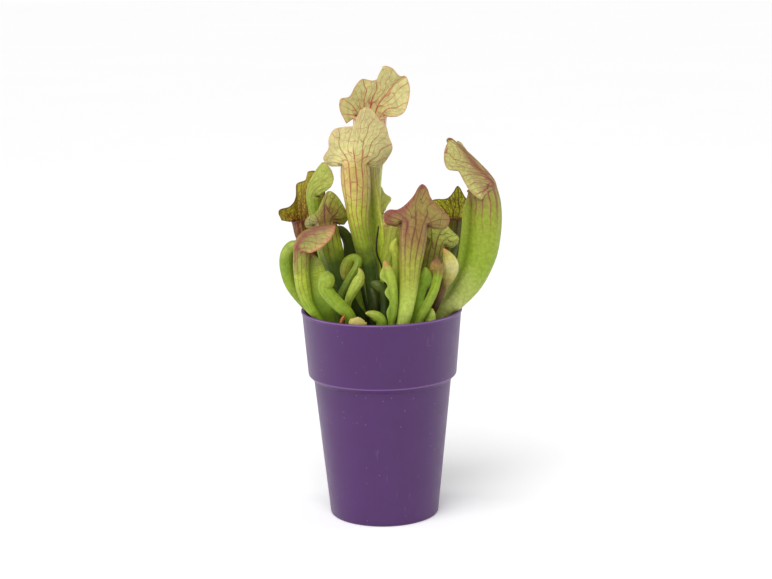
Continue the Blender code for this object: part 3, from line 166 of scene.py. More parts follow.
# The part's leaves: each station is x, y, z, half width across, half width to the front, and wing.
# A lid's margin is across, up and forward of the back of the mouth, from one lobe to the other.
# A closed pitcher has its facing and its stations.
OPEN_PITCHERS = {
    "tall_pitcher_back": dict(facing=(70, 0), rise=3, lift=0.45, stations=(
        (-2, 9, 103.5, 2.6, 2.6, 0.5), (-2.5, 9.5, 112, 2.8, 2.8, 1.5), (-4, 12, 135, 3.6, 3.8, 4),
        (-5.5, 14.5, 160, 5, 5, 8), (-6, 16.5, 188, 7.2, 6.8, 4.6), (-5.2, 18, 208, 8.8, 8, 1.5),
        (-5, 19, 221, 9.3, 8.6, 0),
    ), lid=(
        (-14.7, -0.3, 9), (-18.9, 1.7, 8.5), (-21.2, 6, 7), (-22.5, 13.8, 4.5), (-21.5, 19, 3.2),
        (-20, 21.3, 2.5), (-16.7, 21.5, 3), (-12.6, 26, 2.8), (-7.8, 26.8, 2), (-7.4, 21.5, 1.5),
        (-2.1, 18.8, 1), (4, 19.8, 1), (8, 15.7, 2), (11.1, 10.4, 4), (16.3, 9.2, 6), (16.2, 3, 8),
        (13, -3.6, 10),
    )),
    "tall_pitcher_front": dict(facing=(180, 180), rise=4, lift=0.35, stations=(
        (-3.5, 0, 103.5, 2.6, 2.6, 0.5), (-4, 0, 112, 3, 3, 1), (-5.8, 1, 139, 4.1, 4.3, 3),
        (-9.2, 1, 151, 4.8, 5, 3.5), (-11.9, 0, 167, 5.9, 6, 3), (-12.5, -1.5, 180, 7.3, 7, 2),
        (-13.2, -3, 191, 8.1, 7.6, 1), (-13.4, -4, 197, 7.7, 7.8, 0),
    ), lid=(
        (-10.2, -0.8, 9), (-13.9, -0.8, 9), (-17.1, 3.7, 8), (-14, 8.9, 6), (-13.4, 15, 5),
        (-10.8, 19.7, 4), (-4.8, 21.1, 3), (0.1, 22, 1.5), (2.5, 28, 1.5), (5.5, 31.4, 2),
        (9.7, 30.5, 2.5), (13.4, 25.3, 2), (17.4, 21.1, 2.5), (18.7, 15.5, 4), (20.6, 9.2, 6),
        (18.3, 3.3, 8), (13.6, -2.3, 10),
    )),
    "dark_pitcher_left": dict(facing=(20, 0), rise=-1.5, stations=(
        (-18, 17, 103.5, 2.4, 2.4, 0.4), (-19, 17.5, 112, 2.6, 2.6, 1), (-27.5, 19, 130, 3.4, 3.4, 1.6),
        (-37.5, 19, 145, 4.4, 4.2, 1.6), (-42.5, 17, 156, 5.1, 4.9, 1.5), (-44.4, 16, 166, 5.6, 5.4, 0),
    ), lid=(
        (-8.8, 5.1, 5.4), (-12.8, 11.5, 3.4), (-12.9, 20.3, 1.4), (-9.7, 26.8, 0.4), (-4.1, 27.1, 0.4),
        (-2.6, 22.6, 0.4), (2.5, 20.2, 0.9), (2.9, 13.8, 1.9), (6.3, 8.3, 4.4), (12.5, 6.5, 6.4),
        (11.1, 1.3, 8.4),
    )),
    "pale_pitcher_left": dict(facing=(90, 130), rise=1, lift=0.45, stations=(
        (-15.5, 8.5, 103.5, 2.2, 2.2, 0.4), (-16.5, 9, 111, 2.4, 2.4, 1), (-24, 10, 124, 2.8, 3, 1.5),
        (-30.5, 9.8, 142, 3, 3.4, 1.5), (-34.5, 9.8, 160, 3.6, 3.6, 1), (-36.8, 9, 179, 4.6, 4.2, 0),
    ), lid=(
        (-3, 4.5, 9.1), (-3.8, 8.9, 8.9), (-2.8, 13.6, 8.5), (0.1, 16.9, 8.8), (4.9, 19.8, 8.4),
        (9.5, 16.1, 9.2), (11.9, 11.6, 9), (11.7, 7.3, 7.4), (8.1, 4.1, 5.4),
    )),
    "veined_pitcher_left": dict(facing=(150, 180), rise=2.5, stations=(
        (-9.5, 4, 103.5, 2.4, 2.4, 0.4), (-10.5, 3.5, 111, 2.6, 2.6, 1), (-17, 2, 121, 3.3, 3.2, 2),
        (-23.9, 1.5, 136, 4.6, 4.2, 2.2), (-26.9, 1.5, 149, 6.4, 4.9, 1.6),
        (-29.3, 1.5, 160, 6.6, 5.4, 0.6), (-30.3, 1, 165, 6.2, 5.6, 0),
    ), lid=(
        (-7.4, -4, 6), (-10.8, -1.6, 5), (-9.4, 3, 3), (-4.2, 6.4, 1), (-0.8, 13, 1.5), (2.2, 17.6, 2.5),
        (6.2, 16, 3), (10, 10, 5.5), (12.7, 3, 8), (11.2, -1.6, 9.5), (8, -2, 9),
    )),
    "curved_pitcher_left": dict(facing=(90, 90), rise=1, lift=0.55, stations=(
        (-30, -15, 103.5, 2.2, 2.2, 1.5), (-31, -16, 109, 2.6, 2.4, 4.5), (-34.8, -17.5, 117, 3, 2.6, 8.5),
        (-39.8, -18, 124.5, 3.4, 3.5, 10.4), (-42.3, -17, 133.5, 4.2, 4.4, 9.8),
        (-43.2, -16, 143, 4.8, 4.9, 7.7), (-43.2, -15, 149, 4.8, 4.9, 5), (-43, -14.5, 153, 4.6, 4.8, 0),
    ), lid=(
        (-5, 4.5, 6.8), (-6.5, 8.1, 11.2), (-5, 10.4, 16.2), (-2.5, 12.1, 20.2), (0.5, 13.5, 23),
        (3, 10.4, 22.6), (5, 6.1, 20), (6.2, 2.1, 15.3), (6.8, -0.3, 9.8), (5.2, 0.6, 6),
    )),
    "bronze_pitcher_front": dict(facing=(180, 180), rise=3, lift=0.35, stations=(
        (9, -27.5, 103.5, 2.6, 2.6, 0.4), (9.6, -28.5, 110, 3, 2.9, 0.8), (11.4, -31, 116, 3.5, 3.3, 1.5),
        (12.8, -31, 122, 4.1, 3.9, 2), (14.6, -30, 133, 4.9, 4.7, 2.5), (15.8, -28.5, 146, 6, 5.5, 2.5),
        (17, -27, 156, 7, 6.3, 1.5), (18.1, -25, 166.5, 8, 7.2, 0),
    ), lid=(
        (-9.8, -3.2, 9.2), (-15.5, -0.6, 8.5), (-16, 4.4, 6.5), (-13.6, 6.7, 5), (-8.8, 7.2, 3),
        (-4.7, 9.9, 2), (-0.4, 14.6, 1.5), (2.4, 19.3, 2), (4.6, 20.7, 2.5), (7, 18.3, 3), (9.4, 12.2, 3),
        (16.6, 4.9, 6), (18.9, 0.3, 8), (16.4, -4.8, 9.3), (10.7, -5, 9.8),
    )),
    "yellow_pitcher_middle": dict(facing=(180, 180), rise=2.5, stations=(
        (6, -6.5, 103.5, 2.4, 2.4, 0.4), (6, -6.5, 110, 2.8, 2.6, 0.8), (4.2, -7.5, 126, 3.8, 3.6, 2),
        (3.9, -8.5, 141, 4.8, 4.6, 2.5), (6, -9, 152, 5.2, 4.9, 2), (9.2, -9.5, 164.5, 5.4, 5.2, 0),
    ), lid=(
        (-6.5, -4, 6.5), (-8.3, -0.5, 5), (-7.7, 3.5, 3), (-4.5, 5.5, 1.5), (-0.5, 7, 1), (3.5, 8.5, 1.5),
        (7.5, 8, 2.5), (10, 4, 5), (9, -2, 7),
    )),
    "green_pitcher_right": dict(facing=(180, 180), rise=2, stations=(
        (16.5, -8, 103.5, 2.4, 2.4, 0.4), (17.5, -8, 110, 2.6, 2.5, 0.8), (22.7, -7, 125, 3.7, 3.3, 1.5),
        (26.7, -6.5, 140, 5, 4.2, 2), (28.9, -6.5, 149, 5.5, 4.7, 1), (30.4, -6.5, 154, 5, 5, 0),
    ), lid=(
        (-7.5, -2, 6.5), (-8.5, 3, 4.5), (-7, 8, 2.5), (-4, 12.5, 1.5), (0, 15, 1.5), (4, 13, 2),
        (6.5, 8.6, 2.5), (9.5, 5.2, 4), (11.8, 2.6, 5), (11.8, -0.6, 6), (9, -3.4, 7.5),
    )),
    "dark_pitcher_right": dict(facing=(0, 0), rise=-1.5, stations=(
        (20, 9, 103.5, 2.4, 2.4, 0.4), (21, 9, 110, 2.6, 2.6, 0.8), (27.4, 9, 127, 3.8, 3.4, 1.5),
        (36.2, 9.5, 144, 5.6, 4.2, 1.5), (39.4, 10, 158, 5.8, 4.6, 0.8), (40.6, 10, 166.5, 6, 5, 0),
    ), lid=(
        (-9.4, 4.5, 4), (-9.9, 9.5, 3), (-6.9, 13, 1), (-3.5, 18.7, 0.5), (-0.9, 15.5, 0.5),
        (1.6, 12.5, 0.5), (4.6, 11.5, 1), (8.6, 11.7, 2), (11.6, 10.8, 4), (9.4, 6.1, 6), (5.6, 2.5, 7),
    )),
    "great_pitcher_right": dict(facing=(-90, -90), rise=2, lift=0.22, stations=(
        (28.5, -8, 103.5, 3.2, 3.4, 0.6), (29.5, -8, 109, 3.6, 3.8, 1), (34.6, -8.5, 117.5, 4.2, 4.6, 2),
        (41.4, -8, 124, 5.4, 5.8, 2.6), (47.5, -7, 131.5, 6.2, 7, 3.2), (52.6, -6, 140.5, 6.9, 8, 3.8),
        (56, -5.5, 151, 7.4, 8.8, 4), (57.8, -5, 164, 7.6, 9.2, 4), (57.9, -5, 176, 7.4, 8.6, 3.4),
        (56.6, -5, 184.5, 7, 7.8, 0.4),
    ), lid=(
        (-7.6, -3.9, 7), (-8.6, -6.9, 8.2), (-9, -6, 11), (-9, -2.8, 14.5), (-7.8, 2.6, 17.8),
        (-8, 8.9, 21.5), (-8, 9.6, 26.7), (-7, 14.5, 28.6), (-5.5, 20, 28.2), (-3.4, 24.3, 25.9),
        (-0.6, 24.7, 23.6), (2.4, 25.4, 25.4), (4.6, 23.4, 26.9), (6.5, 20.3, 23.8), (8, 22, 19),
        (8.6, 4, 10.5),
    )),
    "pale_pitcher_behind": dict(facing=(0, 0), rise=2, stations=(
        (8, 22, 103.5, 2.4, 2.4, 0.4), (7.8, 22.5, 110, 2.6, 2.6, 0.8), (4.5, 26.5, 128, 3.3, 3.3, 1.5),
        (1, 29.5, 146, 4.2, 4.1, 1.5), (-1.5, 31, 164, 5.2, 5, 0),
    ), lid=(
        (-5, 3.5, 5), (-7.2, 6.8, 3), (-8, 9.2, 2), (-4.5, 11.5, 0), (-2, 16, 0), (3, 17, 0), (7.5, 12, 1),
        (9, 6, 3), (6.5, 0, 6),
    )),
}
CLOSED_PITCHERS = {
    "hooked_pitcher_left": (90, (
        (-27.5, -3, 103.5, 2.2, 2.2, 0.4), (-29, -3, 109, 2.4, 2.4, 0.6), (-38, -3.5, 117, 2.8, 2.6, 0.8),
        (-45, -4, 125, 3.1, 3, 1), (-50.4, -4, 134, 3.4, 3.5, 1), (-52.4, -3.5, 144, 3.6, 3.9, 0.8),
        (-51.4, -3.5, 151, 3.6, 3.7, 0.3), (-48, -3, 154.6, 3.6, 3.1, 0), (-45.2, -3, 152, 3.2, 2.4, 0),
        (-44.6, -3, 149, 2, 1.4, 0),
    )),
    "knob_pitcher_front": (90, (
        (-13, -28.5, 103.5, 2, 2, 0.3), (-13.8, -29.3, 111, 2.1, 2.4, 0.3),
        (-17.7, -31, 120.6, 2.5, 3, 0.3), (-22.1, -32, 125.6, 2.8, 3.4, 0.3),
        (-26.3, -32, 130, 3, 3.6, 0.3), (-29.1, -32, 133.8, 3.1, 3.6, 0.2), (-31, -32, 136.9, 3, 3.3, 0),
        (-29.8, -32, 139.2, 3.6, 4.4, 0), (-29.5, -32, 141.1, 3.7, 4.5, 0),
        (-29.8, -32, 142.9, 3.2, 3.9, 0), (-30.2, -32, 144.4, 2.2, 2.6, 0),
    )),
    "curled_pitcher_middle": (-90, (
        (-21.5, -19.5, 103.5, 1.9, 1.9, 0.3), (-22.5, -19.8, 111, 1.8, 1.9, 0.3),
        (-23.7, -20.3, 120.5, 1.7, 2, 0.4), (-21.8, -20.5, 129.4, 1.6, 1.9, 0.5),
        (-19, -20.5, 135.2, 1.6, 1.9, 0.5), (-15.9, -20, 140.7, 1.6, 1.9, 0.3),
        (-13.1, -18.5, 145.3, 1.9, 2.1, 0.1), (-12.6, -16.3, 148.5, 2.2, 2.3, 0),
        (-15, -14, 149, 2.6, 2.7, 0), (-17.8, -13, 146.4, 2.9, 3.5, 0), (-19.3, -13, 142.4, 2.7, 3.3, 0),
        (-19.1, -13, 138.2, 2, 2.5, 0), (-18.4, -13, 134.9, 0.8, 1, 0),
    )),
    "curled_pitcher_low": (90, (
        (-17.5, -23.5, 103.5, 1.9, 1.9, 0.3), (-18, -23.8, 110, 1.9, 1.9, 0.3),
        (-18.6, -24.8, 118.5, 1.7, 1.8, 0.4), (-18.7, -25.5, 126, 1.5, 1.7, 0.5),
        (-17.1, -26, 130.8, 1.9, 2.2, 0.5), (-14.8, -26, 134.9, 2.2, 2.7, 0.3),
        (-12.5, -26, 138.4, 2.4, 3.1, 0.1), (-11.2, -26, 141.3, 2, 2.5, 0),
        (-11.3, -26, 143.8, 1.3, 1.5, 0), (-11.9, -26, 145.8, 0.4, 0.5, 0),
    )),
    "small_pitcher_middle": (-90, (
        (-1.5, -11, 103.5, 1.8, 1.8, 0.2), (-1.5, -11, 112, 1.8, 1.8, 0.3), (-1, -11.5, 122, 2, 2, 0.3),
        (-0.8, -12, 128, 2.2, 2.1, 0.3), (-1.6, -12, 131.6, 2.1, 1.8, 0), (-2.8, -12, 133, 1.2, 1, 0),
    )),
    "stalk_middle_left": (-90, (
        (-3.5, -17, 103.5, 1.6, 1.6, 0.2), (-3.5, -17.5, 112, 1.6, 1.6, 0.3),
        (-3.1, -19, 119, 1.7, 1.6, 0.3), (-3.2, -20, 125.1, 1.7, 1.6, 0.3),
        (-4, -20, 129.6, 1.7, 1.6, 0.1), (-5, -20, 132.1, 1.4, 1.3, 0), (-5.8, -20, 133.2, 0.6, 0.5, 0),
    )),
    "stalk_middle_right": (-90, (
        (3, -22.5, 103.5, 1.6, 1.6, 0.2), (3, -22.5, 112, 1.8, 1.8, 0.3), (1.8, -21.5, 118, 1.9, 1.9, 0.3),
        (1.8, -20.5, 125, 2, 2, 0.3), (1.7, -20.5, 129.6, 2.2, 2.3, 0.2), (0.8, -20.5, 132.6, 2.4, 2.8, 0),
        (-1.2, -20.5, 134.4, 2.4, 3, 0), (-3.3, -20.5, 135.6, 1.9, 2.5, 0),
        (-5.3, -20.5, 136.6, 0.8, 1.1, 0),
    )),
    "bud_pitcher_front": (-90, (
        (-1.5, -29, 103.5, 1.6, 1.6, 0.2), (-0.8, -31, 109.5, 1.9, 2.2, 0.2),
        (-0.2, -33, 115, 2.3, 2.9, 0), (-0.2, -33.5, 117.6, 2.3, 2.9, 0),
        (-1.2, -33.5, 119.4, 2.3, 2.9, 0), (-3, -33.5, 120.7, 2.3, 2.9, 0), (-5, -33.5, 121.7, 2, 2.3, 0),
        (-7.3, -33.5, 122.3, 1.3, 1.4, 0), (-8.7, -33.5, 122.4, 0.5, 0.4, 0),
    )),
    "wavy_pitcher_front": (-90, (
        (4, -30.5, 103.5, 1.6, 1.6, 0.3), (4.4, -31.5, 109, 1.7, 1.6, 0.4),
        (5.4, -32.5, 116.5, 1.8, 1.5, 0.6), (6.4, -32.5, 122, 2, 2, 1.8), (6.9, -32.5, 128, 2.1, 2.1, 0.4),
        (6.7, -32, 133.5, 2.2, 2.3, 2.6), (6.2, -31.5, 138, 2.3, 2.4, 0.5), (4.8, -31, 143.5, 2.5, 2.8, 3),
        (2.9, -31, 148.4, 1.8, 1.6, 0.6), (2, -31, 150.3, 0.9, 0.8, 0),
    )),
    "green_hook_middle": (-90, (
        (7, -16.5, 103.5, 1.8, 1.8, 0.3), (7.2, -17, 112, 1.8, 1.8, 0.3), (7.8, -18.5, 128, 1.9, 2.2, 0.3),
        (8.3, -19.5, 138, 1.8, 2.2, 0.3), (8.6, -19.5, 146, 1.8, 2.2, 0.2),
        (8.5, -19.5, 150.5, 1.9, 2.3, 0), (8, -19.5, 153.4, 2, 2.6, 0), (7.4, -19.5, 155.5, 2, 2.8, 0),
        (7.5, -19.5, 157.6, 1.7, 2.1, 0), (8.2, -19.5, 159.6, 1.1, 1.2, 0), (8.7, -19.5, 161, 0.5, 0.4, 0),
    )),
    "cream_pitcher_right": (-90, (
        (23.5, -16, 103.5, 1.6, 1.6, 0.3), (24.5, -16.5, 110, 1.6, 1.6, 0.3),
        (27, -18.6, 116.6, 1.6, 1.6, 0.3), (29.3, -20, 121.8, 1.6, 1.6, 0.3),
        (30.9, -20, 126.3, 2, 2.2, 0.3), (32.7, -20, 131, 2, 2.2, 0.2), (34.2, -20, 134.4, 2, 2.3, 0.1),
        (35.6, -20, 137, 2.4, 3.1, 0), (36.9, -20, 139.8, 3, 3.8, 0), (37.8, -20, 143, 3.4, 4.4, 0),
        (37.8, -20, 146.4, 3.4, 4.4, 0), (36.7, -20, 149.9, 2.8, 3.3, 0), (35.4, -20, 152.6, 1.8, 1.9, 0),
        (34.2, -20, 154.6, 0.6, 0.6, 0),
    )),
    "maroon_pitcher_right": (-90, (
        (19, -27.5, 103.5, 1.9, 1.9, 0.3), (19.3, -28.3, 110.5, 2, 2.1, 0.3),
        (21.1, -29.3, 118, 2, 2.2, 0.3), (23.8, -29.3, 123.4, 2.1, 2.3, 0.4),
        (26.5, -29, 128.5, 2.1, 2.3, 0.4), (28.9, -29, 133.8, 2, 2.2, 0.4),
        (30.2, -29, 138.7, 2, 2.3, 0.3), (30.8, -29, 142.4, 2.2, 2.6, 0.1),
        (30.8, -29, 144.8, 2.7, 3.4, 0), (30.3, -29, 146.5, 3, 4.4, 0), (29.8, -29, 148.1, 2.6, 3.3, 0),
        (30, -29, 149.9, 1.7, 1.9, 0), (30.2, -29, 151.6, 0.5, 0.6, 0),
    )),
    "green_pitcher_small": (90, (
        (16, -20, 103.5, 1.8, 1.8, 0.3), (16.3, -20, 110, 1.8, 1.9, 0.4),
        (17.3, -20.6, 115.5, 1.9, 2.1, 0.4), (18.9, -20.4, 119.9, 2.1, 2.5, 0.4),
        (20, -20.4, 123.8, 2.2, 2.8, 0.3), (20.4, -20.4, 128.3, 2.1, 2.8, 0.3),
        (21.4, -20.4, 132.2, 2.1, 3.2, 0.1), (22.3, -20.6, 134.7, 2.3, 3.5, 0),
        (23.4, -20.8, 136.6, 2.6, 3.9, 0), (23.9, -21, 139.4, 2.7, 4.1, 0),
        (24.3, -21, 141.9, 2.2, 3.1, 0), (24.2, -21, 144.4, 0.9, 0.9, 0),
    )),
    "bud_pitcher_right": (-90, (
        (26, -23.5, 103.5, 1.5, 1.6, 0.2), (26.2, -24, 109.5, 1.8, 2.2, 0.2),
        (26.4, -25, 115, 2, 2.8, 0.1), (26.7, -25, 118.4, 2, 2.8, 0), (27.1, -25, 120.8, 1.6, 2, 0),
        (27.4, -25, 122.4, 0.6, 0.7, 0),
    )),
    "dark_hook_behind": (-90, (
        (-9, 16.5, 103.5, 1.8, 1.8, 0.2), (-9.5, 16.5, 112, 1.9, 2.2, 0.3),
        (-13.8, 18.5, 130, 2.2, 3.4, 0.3), (-16.6, 18.5, 144, 2.4, 3.8, 0.3),
        (-17.8, 17.5, 152.5, 2.4, 3.2, 0.3), (-20.8, 16, 158.2, 2.3, 2.8, 0),
        (-23.6, 16, 159.6, 2.1, 2.6, 0), (-25.6, 16, 157, 1.5, 1.9, 0), (-26.2, 16, 154.2, 0.8, 0.9, 0),
    )),
    "young_back_pitcher_1": (180, (
        (-9.5, 9, 103.5, 1.9, 1.9, 0.3), (-10, 9.4, 110, 2, 2, 0.5), (-12.4, 10.5, 118, 2.4, 2.4, 0.9),
        (-14.4, 11, 126, 2.8, 2.9, 0.8), (-15, 11.8, 131.4, 2.9, 2.7, 0.2),
        (-15.2, 13.6, 133.2, 2.5, 2, 0), (-15.2, 14.2, 131.8, 1.5, 0.9, 0),
    )),
    "young_back_pitcher_2": (150, (
        (14, 17, 103.5, 1.9, 1.9, 0.3), (14.4, 17.5, 110, 2, 2, 0.4), (15.6, 20.5, 119, 2.3, 2.3, 0.8),
        (17.2, 24, 127, 2.7, 2.8, 0.7), (18.4, 26.4, 132, 2.8, 2.5, 0.2), (19.6, 28.4, 132.2, 2.4, 1.9, 0),
        (20.2, 29.3, 130, 1.4, 1, 0),
    )),
    "young_back_pitcher_3": (-120, (
        (-33, 3.5, 103.5, 1.9, 1.9, 0.3), (-33.6, 4, 109, 2, 2, 0.4), (-37.4, 6.5, 117.5, 2.3, 2.2, 0.7),
        (-42, 10, 126, 2.8, 2.8, 0.7), (-44.6, 12, 132, 2.8, 2.6, 0.2), (-46.8, 13.4, 132.4, 2.4, 1.9, 0),
        (-47.6, 14, 130, 1.4, 1, 0),
    )),
    "cut_petiole": (0, (
        (-9, -33.5, 103.5, 2.2, 1.4, 0.2), (-10.4, -35, 110, 3.2, 1.4, 0.2),
        (-12.8, -37, 116, 4.6, 1.5, 0.2), (-12.9, -37.2, 118.4, 4.9, 1.4, 0),
        (-12.6, -37.2, 119.8, 3.4, 1, 0), (-12.4, -37.2, 120.9, 1.2, 0.6, 0),
    )),
    "brown_scrap": (0, (
        (-21, -31, 103.5, 1.4, 0.9, 0.1), (-21.2, -33, 110, 1.5, 0.8, 0.1),
        (-21.9, -35.4, 116.4, 1.2, 0.7, 0.1), (-21.6, -36, 118.6, 1, 0.7, 0),
        (-21, -36, 120.4, 0.9, 0.6, 0), (-19.7, -36, 122, 0.4, 0.4, 0),
    )),
    "dry_twig": (0, (
        (3.5, -12.5, 103.5, 0.8, 0.8, 0), (3.5, -12.5, 112, 0.7, 0.7, 0), (2.6, -13, 130, 0.6, 0.6, 0),
        (0.4, -13.5, 144, 0.5, 0.5, 0), (-2, -12.5, 151, 0.5, 0.5, 0), (-2.2, -11.5, 157, 0.5, 0.5, 0),
        (-1, -10.5, 166, 0.4, 0.4, 0),
    )),
}

# Pitchers of the far side, which share one pattern: foot, mouth, facing, size and whose colours they have
FOOT_HEIGHT = 103.5
BACK_PITCHERS = (
    ((-27, 11), (-43, 24, 137), 200, 0.95, "great_pitcher_right"),
    ((-18, 25), (-31, 38, 140), 150, 1.0, "tall_pitcher_front"),
    ((-8, 27), (-13, 46, 131), 190, 0.85, "bronze_pitcher_front"),
    ((0.5, 33), (4, 48, 143), 170, 1.0, "tall_pitcher_back"),
    ((13, 29), (20, 43, 134), 210, 0.9, "green_pitcher_right"),
    ((21, 19), (31, 31, 142), 160, 1.0, "curved_pitcher_left"),
    ((29, 10), (54, 17, 156), 140, 1.05, "great_pitcher_right"),
)
BACK_MARGIN = (
    (-7.6, -2.4, 6), (-9.2, 3, 4.5), (-6, 9.6, 2), (0.6, 13.6, 2), (6.4, 8.8, 2), (9.2, 2.4, 4.5),
    (7.4, -2.6, 6.5),
)
BACK_RISE = 2.0
BACK_BOW = 0.3
# How far along a pitcher of the far side, its half widths across and to the front, and its wing
BACK_GIRTHS = (
    (0, 2.3, 2.3, 0.4), (0.14, 2.6, 2.5, 0.8), (0.4, 3.4, 3.2, 1.6), (0.7, 4.5, 4.2, 1.8), (1, 5.2, 4.8, 0),
)

# Veins: for each level the gap between lines in mm at which it starts and is in place, and half its
# width. Then how soon a branch shows, the dark core of a vein, how wide its halo is, how the lines
# wander, the rungs' steps, drift, slant and width, and the fine cells' width, height and line, and
# how far they are bent
VEIN_LEVELS = ((0.6, 1.3, 0.44), (3.6, 6.5, 0.4), (2.4, 4.6, 0.34))
BRANCH_SHOWS = 1.15
VEIN_CORE = 0.3
HALO = 2.8
VEIN_WANDER = (0.22, 0.05, 1.4)
RUNG_STEP = 6.0
RUNG_DRIFT = 2.2
RUNG_SLANT = 3.0
RUNG_WIDTH = 0.36
VEIN_CELL = (1.9, 2.6, 0.2)
CELL_BEND = 1.6
# Smooth ranges: from where to where, and from what to what
NECK_SWELLS = (0.5, 1.1, 0.75, 1.15)
LID_TAPERS = (1.2, 2.0, 1.0, 0.6)
SWELL_RANGE = (0.35, 0.65, 0.7, 1.15)
MOTTLE_RANGE = (0.3, 0.7, 0.86, 1.12)
FLUSH_RANGE = (0.35, 0.75, 0.2, 1.0)
FAINT_RANGE = (0.25, 0.6, 0.55, 1.0)
LEAF_ROUGHNESS = (0.3, 0.7, 0.4, 0.56)
PLASTIC_ROUGHNESS = (0.3, 0.7, 0.38, 0.43)
# The leaf's light inside: its share, how far each colour goes, and the scale in metres
GLOW = (0.12, (1.0, 0.95, 0.6), 0.0016)
LEAF_BUMP = 0.0003
# Painted shade: tones multiplied in at the mouth's corners and in the valley beside the wing
PIT_SHADE_COLOUR = (100, 50, 36)
VALLEY_SHADE_COLOUR = (150, 168, 110)
